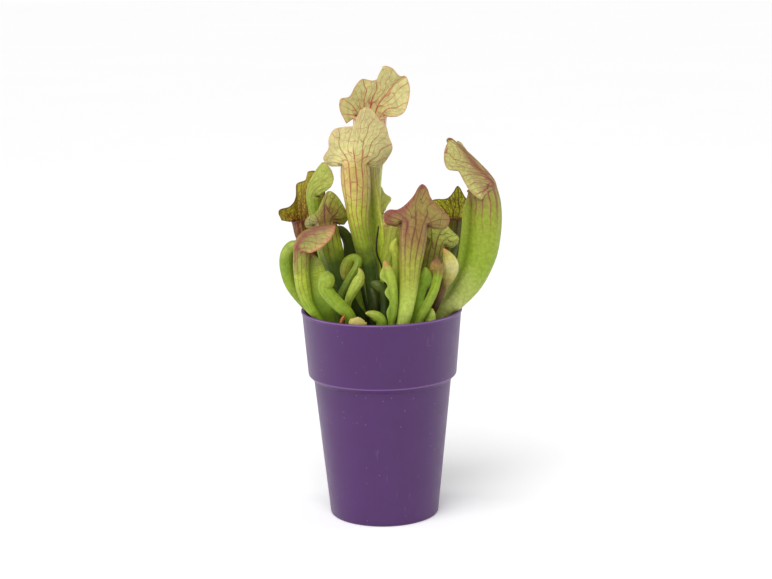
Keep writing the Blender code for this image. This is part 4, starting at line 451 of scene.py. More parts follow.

# The look of each leaf. Colours are red, green and blue from 0 to 255. A skin's colours each have their
# place before them, from the foot (0) past the mouth (0.5) to the lid's margin (1). The pit and valley
# shares set how dark the painted shade is in the mouth's corners and where the wing leaves the tube.
LEAF = dict(
    skin=((0, 88, 114, 28), (0.2, 134, 158, 40), (0.45, 144, 168, 50), (1, 152, 172, 60)),
    inner=(166, 172, 80), inner_share=0.5, vein=(120, 60, 40), veins_from=(0.45, 0.9),
    margin_veins=0.8, lines=0.75, net=0.6, flush=0.15, edge=(184, 132, 86), edge_width=0.7,
    edge_share=0.5, relief=0.5, pits=0.4, valley_shade=0.7, wing_edge=(176, 190, 100), heavy=1.0,
    tilt=0.0, cells=0.25, ridge=(150, 96, 86), ridge_share=0.0, ridge_path=(0.0, 0.0, 1.0),
)
YOUNG = dict(lines=0.15, net=0.05, valley_shade=0.5, edge=(170, 182, 92))
LOOKS = {
    "tall_pitcher_back": dict(
        # Its wing stops at 0.15 and 0.28 are partly its own yellow-green and partly painted light that
        # lifts the shadow of the pitcher in front
        skin=((0, 88, 112, 28), (0.15, 206, 224, 54), (0.28, 206, 214, 90), (0.46, 206, 198, 146),
        (0.56, 180, 166, 92), (1, 178, 168, 110)),
        inner=(198, 194, 134), vein=(166, 66, 58), veins_from=(0.6, 0.98), lines=0.9, net=0.55, flush=0.45,
        heavy=0.85, cells=0.12, edge=(196, 128, 100), wing_edge=(150, 104, 52),
    ),
    "tall_pitcher_front": dict(
        # Its dark foot is partly its own colour and partly painted shade where the leaves crowd at the soil
        skin=((0, 42, 56, 18), (0.2, 68, 88, 24), (0.29, 138, 164, 38), (0.36, 176, 184, 66),
        (0.46, 194, 180, 100), (0.56, 198, 188, 114), (0.7, 198, 192, 128), (1, 184, 174, 120)),
        inner=(190, 184, 108), cells=0, vein=(160, 66, 60), veins_from=(0.38, 0.74), lines=0.9, flush=0.36,
        edge=(200, 150, 112), margin_veins=0.85, heavy=0.8, wing_edge=(158, 92, 50),
    ),
    "dark_pitcher_left": dict(
        skin=((0, 80, 88, 26), (0.2, 104, 100, 34), (0.4, 120, 88, 38), (0.5, 128, 94, 38),
        (0.6, 178, 136, 42), (1, 164, 170, 52)),
        inner=(160, 146, 40), inner_share=0.8, vein=(92, 22, 12), veins_from=(0.3, 0.8), lines=0.8,
        # Its dark edge paints the shade in its mouth under the lid; the same colour runs round its lid's
        # margin
        net=0.9, margin_veins=0.5, flush=0.5, edge=(84, 40, 28), edge_width=0.8, edge_share=0.7,
        wing_edge=(120, 84, 50), cells=0.95, heavy=1.1,
    ),
    "pale_pitcher_left": dict(
        skin=((0, 80, 110, 28), (0.25, 132, 158, 38), (0.46, 130, 152, 38), (0.56, 142, 154, 58),
        (1, 156, 164, 70)),
        # Its dark green inside is painted shade in the hollow under its hood
        inner=(92, 112, 28), inner_share=0.9, vein=(124, 86, 46), veins_from=(0.3, 0.8), lines=0.4,
        net=0.35, flush=0.05, edge=(160, 126, 70), pits=0.1,
    ),
    "veined_pitcher_left": dict(
        # Its dark lower tube is partly its own colour and partly painted shade from the young pitchers in
        # front
        skin=((0, 42, 60, 18), (0.3, 72, 94, 24), (0.42, 152, 168, 38), (0.54, 124, 104, 50),
        (0.7, 130, 112, 52), (0.9, 140, 138, 54), (1, 146, 158, 60)),
        inner=(160, 168, 84), vein=(96, 38, 32), veins_from=(0.62, 1), lines=0.85, net=0.7, flush=0.3,
        cells=0.3, edge=(150, 120, 84), ridge=(174, 176, 114), ridge_share=0.8, ridge_path=(0, -1.8, 0.9),
    ),
    "bronze_pitcher_front": dict(
        skin=((0, 194, 200, 122), (0.16, 170, 188, 82), (0.32, 150, 156, 54), (0.46, 140, 116, 58),
        (0.6, 140, 116, 60), (0.8, 142, 128, 62), (0.92, 140, 112, 64), (1, 138, 86, 62)),
        inner=(128, 120, 54), vein=(98, 40, 38), veins_from=(0.4, 0.9), lines=0.8, net=0.7,
        margin_veins=0.85, flush=0.3, edge=(140, 70, 58), edge_share=0.3, pits=1, tilt=0.1, edge_width=0.8,
        cells=0.2, heavy=1.25, ridge=(132, 76, 64), ridge_share=0.6, ridge_path=(0, -1.2, 0.8),
    ),
    "curved_pitcher_left": dict(
        skin=((0, 72, 94, 28), (0.2, 132, 160, 38), (0.36, 154, 172, 50), (0.46, 132, 144, 52),
        (0.54, 148, 116, 70), (0.62, 148, 124, 66), (0.76, 134, 134, 58), (0.92, 146, 140, 66),
        (1, 176, 142, 84)),
        inner=(146, 142, 64), vein=(124, 52, 46), veins_from=(0.25, 0.8), lines=0.7, net=0.7, flush=0.25,
        edge=(164, 84, 72), edge_share=0.6, edge_width=1, ridge=(124, 66, 56), ridge_share=0.85,
        ridge_path=(1.7, -0.35, 0.75), heavy=0.8, wing_edge=(140, 164, 50),
    ),
    "yellow_pitcher_middle": dict(
        skin=((0, 102, 126, 26), (0.25, 134, 160, 34), (0.44, 144, 156, 48), (0.56, 182, 170, 86),
        (1, 186, 170, 88)),
        inner=(176, 168, 88), vein=(140, 96, 50), lines=0.5, net=0.4, flush=0.08, edge=(200, 182, 118),
    ),
    "green_pitcher_right": dict(
        skin=((0, 76, 90, 24), (0.25, 96, 108, 32), (0.42, 124, 134, 46), (0.56, 166, 174, 72),
        (1, 176, 190, 88)),
        inner=(150, 160, 56), vein=(112, 50, 36), veins_from=(0.3, 0.8), lines=0.85, net=0.85, flush=0.25,
        edge=(172, 136, 80),
    ),
    "dark_pitcher_right": dict(
        skin=((0, 70, 80, 20), (0.3, 88, 98, 22), (0.5, 98, 104, 28), (0.6, 188, 186, 40),
        (1, 176, 188, 48)),
        inner=(170, 168, 34), inner_share=0.7, vein=(74, 18, 14), veins_from=(0.75, 1), lines=0.95,
        net=0.95, margin_veins=0.9, flush=0.5, edge=(92, 30, 22), edge_share=0.7, cells=0.8, heavy=1.1,
    ),
    "great_pitcher_right": dict(
        skin=((0, 112, 120, 26), (0.12, 172, 180, 98), (0.28, 134, 156, 42), (0.42, 138, 152, 44),
        (0.5, 142, 134, 66), (0.6, 144, 128, 80), (0.8, 152, 142, 86), (1, 176, 174, 104)),
        inner=(160, 152, 90), cells=0.3, vein=(130, 50, 58), veins_from=(0.66, 1), lines=0.95, net=0.95,
        edge=(160, 110, 74), pits=0.35, heavy=1.15, valley_shade=0.45, wing_edge=(150, 176, 66),
        ridge=(112, 58, 44), ridge_share=0.75, ridge_path=(-2.6, 1.1, 0.5),
    ),
    "pale_pitcher_behind": dict(
        skin=((0, 120, 142, 40), (0.4, 180, 192, 78), (1, 200, 202, 110)),
        lines=0.3, net=0.1, flush=0, inner=(184, 188, 108), edge=(200, 190, 130),
    ),
    "hooked_pitcher_left": dict(
        skin=((0, 104, 126, 32), (0.25, 130, 150, 38), (0.38, 116, 140, 34), (0.46, 164, 178, 80),
        (0.5, 112, 136, 36)),
    ),
    "knob_pitcher_front": dict(
        skin=((0, 90, 112, 26), (0.22, 124, 148, 36), (0.36, 128, 152, 38), (0.45, 138, 160, 48),
        (0.5, 126, 148, 42)),
    ),
    "curled_pitcher_middle": dict(
        skin=((0, 60, 74, 22), (0.2, 88, 106, 26), (0.34, 116, 136, 32), (0.44, 124, 130, 34),
        (0.5, 92, 70, 28)),
    ),
    "curled_pitcher_low": dict(
        skin=((0, 70, 90, 24), (0.25, 130, 148, 44), (0.42, 156, 170, 66), (0.5, 152, 160, 62)),
        edge=(198, 206, 120),
    ),
    # These inner stalks are partly their own dark green and partly painted shade deep among the leaves
    "small_pitcher_middle": dict(
        skin=((0, 30, 40, 14), (0.25, 46, 60, 18), (0.4, 70, 86, 24), (0.5, 84, 92, 30)),
    ),
    "stalk_middle_left": dict(skin=((0, 26, 36, 12), (0.3, 42, 56, 18), (0.5, 60, 74, 24))),
    "stalk_middle_right": dict(skin=((0, 30, 40, 14), (0.3, 50, 68, 18), (0.5, 74, 94, 22))),
    "bud_pitcher_front": dict(
        skin=((0, 66, 88, 24), (0.25, 114, 140, 34), (0.4, 142, 162, 48), (0.47, 148, 158, 56),
        (0.5, 174, 172, 84)),
    ),
    "wavy_pitcher_front": dict(
        skin=((0, 90, 110, 28), (0.25, 128, 152, 42), (0.42, 152, 172, 60), (0.485, 166, 172, 70),
        (0.5, 186, 138, 80)),
    ),
    "green_hook_middle": dict(
        skin=((0, 80, 100, 26), (0.3, 126, 146, 38), (0.46, 166, 176, 60), (0.5, 182, 190, 72)),
    ),
    "cream_pitcher_right": dict(
        skin=((0, 46, 28, 10), (0.16, 64, 40, 14), (0.28, 92, 64, 26), (0.34, 166, 158, 80),
        (0.42, 192, 186, 122), (0.47, 180, 172, 84), (0.5, 196, 124, 70)),
        edge=(206, 150, 96),
    ),
    "maroon_pitcher_right": dict(
        skin=((0, 104, 124, 32), (0.25, 124, 146, 38), (0.38, 128, 154, 34), (0.45, 134, 112, 48),
        (0.5, 116, 66, 46)),
        lines=0.4, vein=(110, 46, 38), edge=(150, 70, 50),
    ),
    "green_pitcher_small": dict(
        skin=((0, 116, 144, 36), (0.25, 146, 180, 44), (0.42, 130, 164, 40), (0.5, 156, 180, 58)),
    ),
    "bud_pitcher_right": dict(skin=((0, 132, 154, 48), (0.3, 164, 190, 70), (0.5, 176, 194, 84))),
    "dark_hook_behind": dict(
        skin=((0, 44, 58, 18), (0.25, 64, 82, 24), (0.42, 84, 98, 28), (0.5, 104, 70, 38)),
    ),
    "cut_petiole": dict(
        skin=((0, 140, 144, 60), (0.3, 170, 168, 78), (0.5, 182, 166, 92)),
        lines=0, net=0, relief=0.2,
    ),
    "brown_scrap": dict(
        skin=((0, 60, 38, 18), (0.3, 112, 64, 30), (0.5, 164, 90, 46)),
        edge=(176, 110, 60),
    ),
    "dry_twig": dict(skin=((0, 40, 30, 20), (0.3, 46, 32, 24), (0.5, 30, 22, 18))),
}

# Camera, in metres and degrees, and the photograph's own size
IMAGE_WIDTH = 772
FOCAL_PIXELS = 1853
SENSOR = 36.0
CLIP = (0.05, 50.0)
CAMERA_PLACE = (0.0, -1.012, 0.338)
CAMERA_PITCH = 11.7
CAMERA_YAW = 0.148
CAMERA_ROLL = 0.86

# Floor: half its width in mm, and its two tones as linear numbers. Light: the strength of the sky, seen
# and unseen, and the lamps by name, place, size and power, in metres
FLOOR_HALF = 6000.0
FLOOR_TONES = ([0.96, 0.96, 0.96, 1.0], [0.98, 0.98, 0.98, 1.0])
SKY_SEEN = 1.0
SKY_LIGHT = 0.42
SUN_STRENGTH = 2.7
SUN_ANGLE = 60.0
SUN_PLACE = (-0.35, -0.95, 1.15)
LAMP_AIM = (0.0, 0.0, 0.12)
SOFTBOXES = (
    ("left_strip", (-0.9, 0.1, 0.3), (0.3, 0.9), 3.0),
    ("right_strip", (0.9, 0.1, 0.3), (0.3, 0.9), 3.0),
)


def seed_of(name):
    return sum(ord(letter) for letter in name)


def smooth_rows(keys, count):
    """Rows evenly spaced by key along a smooth curve that passes through every key row."""
    keys = np.array(keys, float)
    ends = np.vstack([2 * keys[0] - keys[1], keys, 2 * keys[-1] - keys[-2]])
    place = np.linspace(0, len(keys) - 1, count)
    span = np.minimum(place.astype(int), len(keys) - 2)
    t = (place - span)[:, None]
    before, start, end, after = (ends[span + step] for step in range(4))
    bend = 2 * before - 5 * start + 4 * end - after
    turn = 3 * (start - end) + after - before
    return start + 0.5 * t * ((end - before) + t * (bend + t * turn))


def unit(vectors):
    return vectors / np.maximum(np.linalg.norm(vectors, axis=-1, keepdims=True), 1e-9)


def ease(value, start=0.0, end=1.0):
    """0 before start, 1 after end, and smooth between them."""
    t = np.clip((value - start) / (end - start), 0, 1)
    return t * t * (3 - 2 * t)


def looking(degrees):
    """The level direction at this angle from -Y, and the direction across it."""
    angle = np.radians(degrees)
    front = np.stack([np.sin(angle), -np.cos(angle), np.zeros_like(angle)], axis=-1)
    return front, np.cross(front, [0.0, 0.0, 1.0])


def spine_frames(centres, facing):
    """Along, across and front directions at each row of a spine."""
    along = unit(np.gradient(centres, axis=0))
    across = looking(facing)[1]
    across = unit(across - (across * along).sum(-1, keepdims=True) * along)
    return along, across, np.cross(along, across)


def arc_lengths(points):
    """The distance along each row of points from its first column, or down a list of points."""
    steps = np.linalg.norm(np.diff(points, axis=0), axis=-1)
    return np.concatenate([np.zeros((1, *steps.shape[1:])), np.cumsum(steps, axis=0)])


def waves(seed, place, counts, size):
    """A sum of waves along place, which runs from 0 to 1. Each has its own seeded phase."""
    rng = random.Random(seed)
    total = np.zeros_like(place)
    for count in counts:
        phase = rng.uniform(0, 2 * math.pi)
        total = total + np.sin(2 * math.pi * count * place + phase) * rng.uniform(0.5, 1.0)
    return size * total / len(counts)


def numbers(layout, *parts):
    """Sets of three numbers for a layout of points, from parts that may be the same along a side."""
    return np.stack([np.broadcast_to(part, layout) for part in parts], axis=-1)


def mesh_of(name, points, faces):
    """A mesh of points in mm."""
    mesh = bpy.data.meshes.new(name)
    mesh.from_pydata([tuple(np.array(point) * MM) for point in points], [], faces)
    return mesh


def put(name, data):
    """Puts a mesh, lamp or camera into the scene as an object."""
    made = bpy.data.objects.new(name, data)
    bpy.context.scene.collection.objects.link(made)
    return made


class Surface:
    """A mesh in the making, with the three sets of numbers that the leaf materials read."""

    def __init__(self):
        self.points = []
        self.faces = []
        self.sets = {"fan": [], "net": [], "place": []}

    def add(self, points, fan=0.0, net=0.0, place=0.0):
        """Adds a block of points and gives back their indices in the same layout."""
        shape = np.shape(points)
        first = len(self.points)
        self.points.extend(np.reshape(points, (-1, 3)))
        for store, values in zip(self.sets.values(), (fan, net, place)):
            store.extend(np.reshape(np.broadcast_to(values, shape), (-1, 3)))
        return np.arange(first, len(self.points)).reshape(shape[:-1])

    def grid(self, rows, closed=False):
        for low, high in zip(rows[:-1], rows[1:]):
            for i in range(len(low) if closed else len(low) - 1):
                j = (i + 1) % len(low)
                self.faces.append((low[i], low[j], high[j], high[i]))

    def cap(self, ring):
        """Closes a ring with a point in its middle, which takes the numbers of the ring's first point."""
        middle = np.mean([self.points[i] for i in ring], axis=0)
        centre = self.add([middle], *[[store[ring[0]]] for store in self.sets.values()])[0]
        for i, point in enumerate(ring):
            self.faces.append((point, ring[(i + 1) % len(ring)], centre))

    def finish(self, name, node, look):
        mesh = mesh_of(name, self.points, [[int(i) for i in face] for face in self.faces])
        for key, values in self.sets.items():
            layer = mesh.attributes.new(key, "FLOAT_VECTOR", "POINT")
            layer.data.foreach_set("vector", np.array(values, np.float32).ravel())
        return finish_piece(name, mesh, node, look)


def finish_piece(name, mesh, node, look):
    """Makes an object of a mesh, lets it ride on the part and stand for its node."""
    work = bmesh.new()
    work.from_mesh(mesh)
    bmesh.ops.recalc_face_normals(work, faces=work.faces)
    work.to_mesh(mesh)
    work.free()
    mesh.shade_smooth()
    piece = put(name, mesh)
    mesh.materials.append(look)
    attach(piece, "root")
    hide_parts(node)
    return piece


def tube_columns(neck_count, side_count):
    """Angles round the tube in radians, how far out on the wing each column is, and the neck's columns."""
    side = np.linspace(WING_ROOT, NECK_START, side_count)
    neck = np.linspace(NECK_START, 360 - NECK_START, neck_count)
    flank = np.array(WING_FLANK)
    root = np.full(len(flank), WING_ROOT)
    angles = np.concatenate([root, side, neck[1:-1], 360 - side[::-1], 360 - root])
    flank = np.concatenate([flank, np.zeros(2 * side_count + neck_count - 2), flank[::-1]])
    first = len(root) + side_count - 1
    return np.radians(angles), flank, slice(first, first + neck_count)


def tube_points(spine, facings, angles, flank, inset=0.0, flutter=0.0):
    """Rings of points round a spine, with a wing that thins from its root to its edge."""
    centres, half_across, half_front, wing = spine[:, :3], spine[:, 3], spine[:, 4], spine[:, 5]
    _, across, front = spine_frames(centres, facings)
    sideways = (half_across - inset)[:, None] * np.sin(angles)
    forward = (half_front - inset)[:, None] * np.cos(angles)
    if inset:
        sideways = sideways * (1 - flank)
        forward = forward + (half_front - inset)[:, None] * flank * (1 - np.cos(angles))
    else:
        edge = np.sign(np.sin(angles)) * WING_EDGE
        ripple = flutter * waves(len(spine), np.linspace(0, 1, len(spine)), WING_WAVES, 1.0)
        swing = (ripple * np.clip(wing / FULL_WING, 0, 1))[:, None] * flank**2
        sideways = edge + (sideways - edge) * (1 - flank) ** WING_THINNING + swing
        forward = forward + ((half_front + wing)[:, None] - forward) * flank
    return centres[:, None] + across[:, None] * sideways[..., None] + front[:, None] * forward[..., None]


def lid_sheet(neck, along, margin, lift, count):
    """The middle surface of a lid: one bent vein from each point of the neck to the margin."""
    share = np.linspace(0, 1, count)[:, None, None]
    reach = np.linalg.norm(margin - neck, axis=1)[:, None]
    middle = 1 - np.linspace(-1, 1, len(neck))[:, None] ** 2
    control = neck + 0.5 * (margin - neck) * (1 - middle) + along * lift * reach * middle
    return (1 - share) ** 2 * neck + 2 * share * (1 - share) * control + share**2 * margin


def pit_shares(points, corners):
    """How deep in a fold each point is: 1 at the corners where lid and mouth meet, 0 away from them."""
    apart = np.stack([np.linalg.norm(points - corner, axis=-1) for corner in corners])
    return np.exp(-((apart / PIT_SIZE) ** 2)).max(axis=0)


def valley_shares(angles, flank, wing):
    """How deep in the valley where the wing leaves the tube each point is, by the wing's width."""
    # The leaf's material darkens by these shares as painted shade
    from_root = np.degrees(np.minimum(angles, 2 * math.pi - angles)) - WING_ROOT
    share = np.exp(-((from_root / VALLEY_ANGLE) ** 2)) * np.exp(-((flank / VALLEY_FLANK) ** 2))
    return share * np.clip(wing / FULL_WING, 0, 1)[:, None]


def wing_in(flank, wing, least, gone):
    """How far in from the wing's edge each point is, and far where the wing is gone."""
    inwards = (1 - flank) * np.maximum(wing, least) + np.where(flank > 0, 0, FAR)
    return inwards + FAR * ease(gone - wing, 0.0, gone)


def sheet_gaps(sheet):
    """How far apart the veins of a sheet are at each of its points."""
    return np.linalg.norm(np.gradient(sheet, axis=1), axis=-1)


def sheet_normals(sheet):
    return unit(np.cross(np.gradient(sheet, axis=1), np.gradient(sheet, axis=0)))


def folded_sheet(sheet, seed, pits, outside, inside):
    """A lid's sheet with its waves, puckers and folds, and the way from it to its outer side."""
    normals = sheet_normals(sheet)
    outwards = np.sign((normals[0] * (outside - inside)).sum())
    share = np.linspace(0, 1, len(sheet))[:, None]
    round_edge = np.linspace(0, 1, sheet.shape[1])
    ruffle = waves(seed + 1, round_edge, RUFFLE_WAVES, RUFFLE)
    ruffle = ruffle + waves(seed + 2, round_edge, NICK_WAVES, NICKS)
    bend = ruffle * share**2 - PIT_DEPTH * pit_shares(sheet, pits) * ease(share, *PITS_GROW)
    pucker = waves(seed + 3, round_edge, PUCKER_WAVES, PUCKER)
    pucker = pucker * ease(share, *PUCKER_GROWS) * (1 - ease(share, *PUCKER_FADES))
    sheet = sheet + normals * outwards * (bend + pucker)[..., None]
    thickness = LID_THICKNESS - (LID_THICKNESS - LID_EDGE) * ease(share, *LID_THINS)
    return sheet, sheet_normals(sheet) * outwards * thickness[..., None] / 2


def add_bead(surface, tubes, lids, mouth, mouth_roll):
    """One bead round the whole free edge: the mouth, then up the lid's sides and round its margin."""
    (outside, inside), (upper, lower) = tubes, lids
    outer = [*outside[-1][mouth], *upper[1:, 0], *upper[-1, 1:], *upper[-2:0:-1, -1]]
    inner = [*inside[-1][mouth], *lower[1:, 0], *lower[-1, 1:], *lower[-2:0:-1, -1]]
    behind = [*outside[-2][mouth], *upper[1:, 1], *upper[-2, 1:], *upper[-2:0:-1, -2]]
    points = np.array(surface.points)
    top, bottom = points[outer], points[inner]
    around = unit(np.roll(top + bottom, -1, axis=0) - np.roll(top + bottom, 1, axis=0))
    through = top - bottom
    beyond = unit(np.cross(around, through))
    beyond *= np.sign(((top - points[behind]) * beyond).sum(-1, keepdims=True))
    fan, net, place = (np.array(store)[outer] for store in surface.sets.values())
    place[:, 0] = 0
    roll = np.zeros((len(outer), 1))
    roll[: len(mouth), 0] = mouth_roll
    rings = [outer]
    for step in range(1, BEAD_STEPS):
        angle = math.pi * step / BEAD_STEPS
        half = (np.linalg.norm(through, axis=1) / 2)[:, None]
        plain = (top + bottom) / 2 + through / 2 * math.cos(angle) + beyond * half * math.sin(angle)
        fat = angle * ROLL_TURN - (ROLL_TURN - 1) * math.pi
        bulge = unit(through) * (ROLL_OUT + math.cos(fat)) + beyond * (ROLL_UP + math.sin(fat))
        rings.append(surface.add(plain + bulge * roll, fan, net, place))
    surface.grid([*rings, inner], closed=True)


def open_pitcher(name, slot, skin, shape, facing, rise, stations, lid, lift=LID_LIFT):
    """A tube with a wing down its front, a rolled lip, a hollow and a veined lid on its back."""
    fine = dict(FINE, **shape)
    rows, lid_rows, lid_columns, lines = fine["rows"], fine["lid_rows"], fine["lid_columns"], fine["lines"]
    seed = seed_of(name)
    spine = smooth_rows(stations, rows)
    climb = np.linspace(0, 1, rows)
    spine[:, 3:5] *= 1 + (waves(seed, climb, LUMP_WAVES, LUMPS) * ease(climb, *LUMPS_GROW))[:, None]
    facings = np.linspace(*facing, rows)
    angles, flank, neck = tube_columns(lid_columns, fine["side_columns"])
    along = spine_frames(spine[:, :3], facings)[0]
    blend = ease(climb, 1 - RIM_BLEND, 1.0)
    lifted = along[:, None] * (rise * blend[:, None] * (1 - np.cos(angles)) / 2)[..., None]
    outer = tube_points(spine, facings, angles, flank, flutter=fine["flutter"]) + lifted
    outer[0, :, 2] = spine[0, 2]
    hollow_from = int(rows * HOLLOW_SHARE)
    inner = (tube_points(spine, facings, angles, flank, inset=LEAF_WALL) + lifted)[hollow_from:]

    # The lid, from the back of the mouth to its margin
    forward, across = looking(np.array(float(facing[1])))
    origin = outer[-1][neck][lid_columns // 2]
    steps = smooth_rows(lid[::-1], lid_columns)
    margin = origin + steps[:, :1] * across + steps[:, 2:] * forward + steps[:, 1:2] * [0, 0, 1]
    rim = (outer[-1][neck] + inner[-1][neck]) / 2
    sheet = lid_sheet(rim, along[-1], margin, lift, lid_rows + 1)
    pits = sheet[PIT_ROW, [PIT_COLUMN, -1 - PIT_COLUMN]]

    # The numbers for the material: lines run up the tube and fan out over the lid
    layout = outer.shape[:2]
    heights = arc_lengths(spine[:, :3])[:, None]
    height = heights[-1, 0]
    wing = spine[:, 5:6]
    girth = (spine[:, 3:4] + spine[:, 4:5]) / 2
    turned = angles.copy()
    turned[: len(WING_FLANK)] *= 1 - flank[: len(WING_FLANK)]
    turned[-len(WING_FLANK) :] += (2 * math.pi - turned[-len(WING_FLANK) :]) * flank[-len(WING_FLANK) :]
    line = (turned / (2 * math.pi) - 0.5) * lines
    fan = numbers(layout, line, 2 * math.pi * girth / lines, heights / height)
    sideways = (turned - math.pi) * girth + np.sign(turned - math.pi) * flank * wing
    # How deep each point is in a pit or in the wing's valley, for the painted shade there
    fold_shade = pit_shares(outer, pits) - valley_shares(angles, flank, wing[:, 0])
    net = numbers(layout, sideways, heights - height, fold_shade)
    from_rim = height - heights + FAR * ease(-np.cos(angles), -math.cos(math.radians(FREE_RIM)), 1.0)
    edge = np.minimum(from_rim, wing_in(flank, wing, *OPEN_WING))
    surface = Surface()
    outside = surface.add(outer, fan, net, numbers(layout, edge, 0.0, heights))
    inside_place = numbers(layout, from_rim, 1.0, heights)
    inside = surface.add(inner, fan[hollow_from:], net[hollow_from:], inside_place[hollow_from:])
    surface.grid(outside, closed=True)
    surface.grid(inside, closed=True)
    surface.cap(outside[0])
    surface.cap(inside[0])

    # The lid's two sides
    sheet, offset = folded_sheet(sheet, seed, pits, outer[-1][neck], inner[-1][neck])
    share = np.linspace(0, 1, lid_rows + 1)[:, None]
    reached = arc_lengths(sheet)
    spread = np.linspace(-1, 1, lid_columns) * math.radians(LID_SPREAD)
    gaps = sheet_gaps(sheet)
    first, second = line[neck][:2]
    fan = numbers(reached.shape, line[neck], gaps / abs(second - first), 1 + share)
    sideways = sideways[-1][neck] + reached * np.sin(spread)
    net = numbers(reached.shape, sideways, reached * np.cos(spread), pit_shares(sheet, pits))
    from_sides = np.minimum(np.cumsum(gaps, axis=1), np.cumsum(gaps[:, ::-1], axis=1)[:, ::-1]) - gaps / 2
    edge = np.minimum(reached[-1] - reached, from_sides)
    lids = []
    for tube, side, within in ((outside, 1, 0.0), (inside, -1, 1.0)):
        place = numbers(reached.shape, edge, within, height + reached)
        sheet_side = surface.add((sheet + side * offset)[1:], fan[1:], net[1:], place[1:])
        lids.append(np.vstack([tube[-1][neck], sheet_side]))
    for sheet_side in lids:
        surface.grid(sheet_side)
    mouth = [i % len(angles) for i in range(neck.stop - 1, neck.start + len(angles) + 1)]
    roll = fine["lip"] * ease((1 + np.cos(angles[mouth])) / 2, *ROLL_GROWS)
    add_bead(surface, (outside, inside), lids, mouth, roll)
    return surface.finish(name + "_leaf", name, skin)


def closed_pitcher(name, skin, facing, stations):
    """A young pitcher: a closed horn, with a low wing on the side that it hooks towards."""
    spine = smooth_rows(stations, YOUNG_ROWS)
    facings = np.full(YOUNG_ROWS, float(facing))
    angles, flank, _ = tube_columns(*YOUNG_COLUMNS)
    rings = tube_points(spine, facings, angles, flank, flutter=YOUNG_FLUTTER)
    rings[0, :, 2] = spine[0, 2]
    along = spine_frames(spine[:, :3], facings)[0]
    end = spine[-1]
    tip = []
    for step in range(1, TIP_STEPS):
        turn = step * math.pi / 2 / TIP_STEPS
        ring = end[:3] + (rings[-1] - end[:3]) * math.cos(turn)
        tip.append(ring + along[-1] * end[4] * TIP_LENGTH * math.sin(turn))
    points = np.concatenate([rings, tip])
    layout = points.shape[:2]
    heights = arc_lengths(np.concatenate([spine[:, :3], [ring.mean(axis=0) for ring in tip]]))[:, None]
    girth = np.concatenate([(spine[:, 3] + spine[:, 4]) / 2, np.full(len(tip), end[3] / 2)])[:, None]
    wing = np.concatenate([spine[:, 5], np.zeros(len(tip))])[:, None]
    line = (angles / (2 * math.pi) - 0.5) * YOUNG_LINES
    sideways = (angles - math.pi) * girth + np.sign(angles - math.pi) * flank * wing
    surface = Surface()
    indices = surface.add(
        points,
        numbers(layout, line, 2 * math.pi * girth / YOUNG_LINES, heights / heights[-1]),
        numbers(layout, sideways, heights, -valley_shares(angles, flank, wing[:, 0])),
        numbers(layout, wing_in(flank, wing, *YOUNG_WING), 0.0, heights),
    )
    surface.grid(indices, closed=True)
    surface.cap(indices[0])
    surface.cap(indices[-1])
    return surface.finish(name + "_leaf", name, skin)


def linear(colour):
    """A colour given as 0 to 255 on screen, as the shader's own linear numbers."""
    shares = [channel / 255 for channel in colour]
    return (*[s / 12.92 if s <= 0.04045 else ((s + 0.055) / 1.055) ** 2.4 for s in shares], 1.0)


class Term:
    """A number, vector or colour in a shader. Plain arithmetic on it adds the nodes for it."""

    def __init__(self, shading, socket):
        self.shading = shading
        self.socket = socket

    def __add__(self, other):
        return self.shading.math("ADD", self, other)

    def __sub__(self, other):
        return self.shading.math("SUBTRACT", self, other)

    def __mul__(self, other):
        return self.shading.math("MULTIPLY", self, other)

    def __truediv__(self, other):
        return self.shading.math("DIVIDE", self, other)

    def __abs__(self):
        return self.shading.math("ABSOLUTE", self)


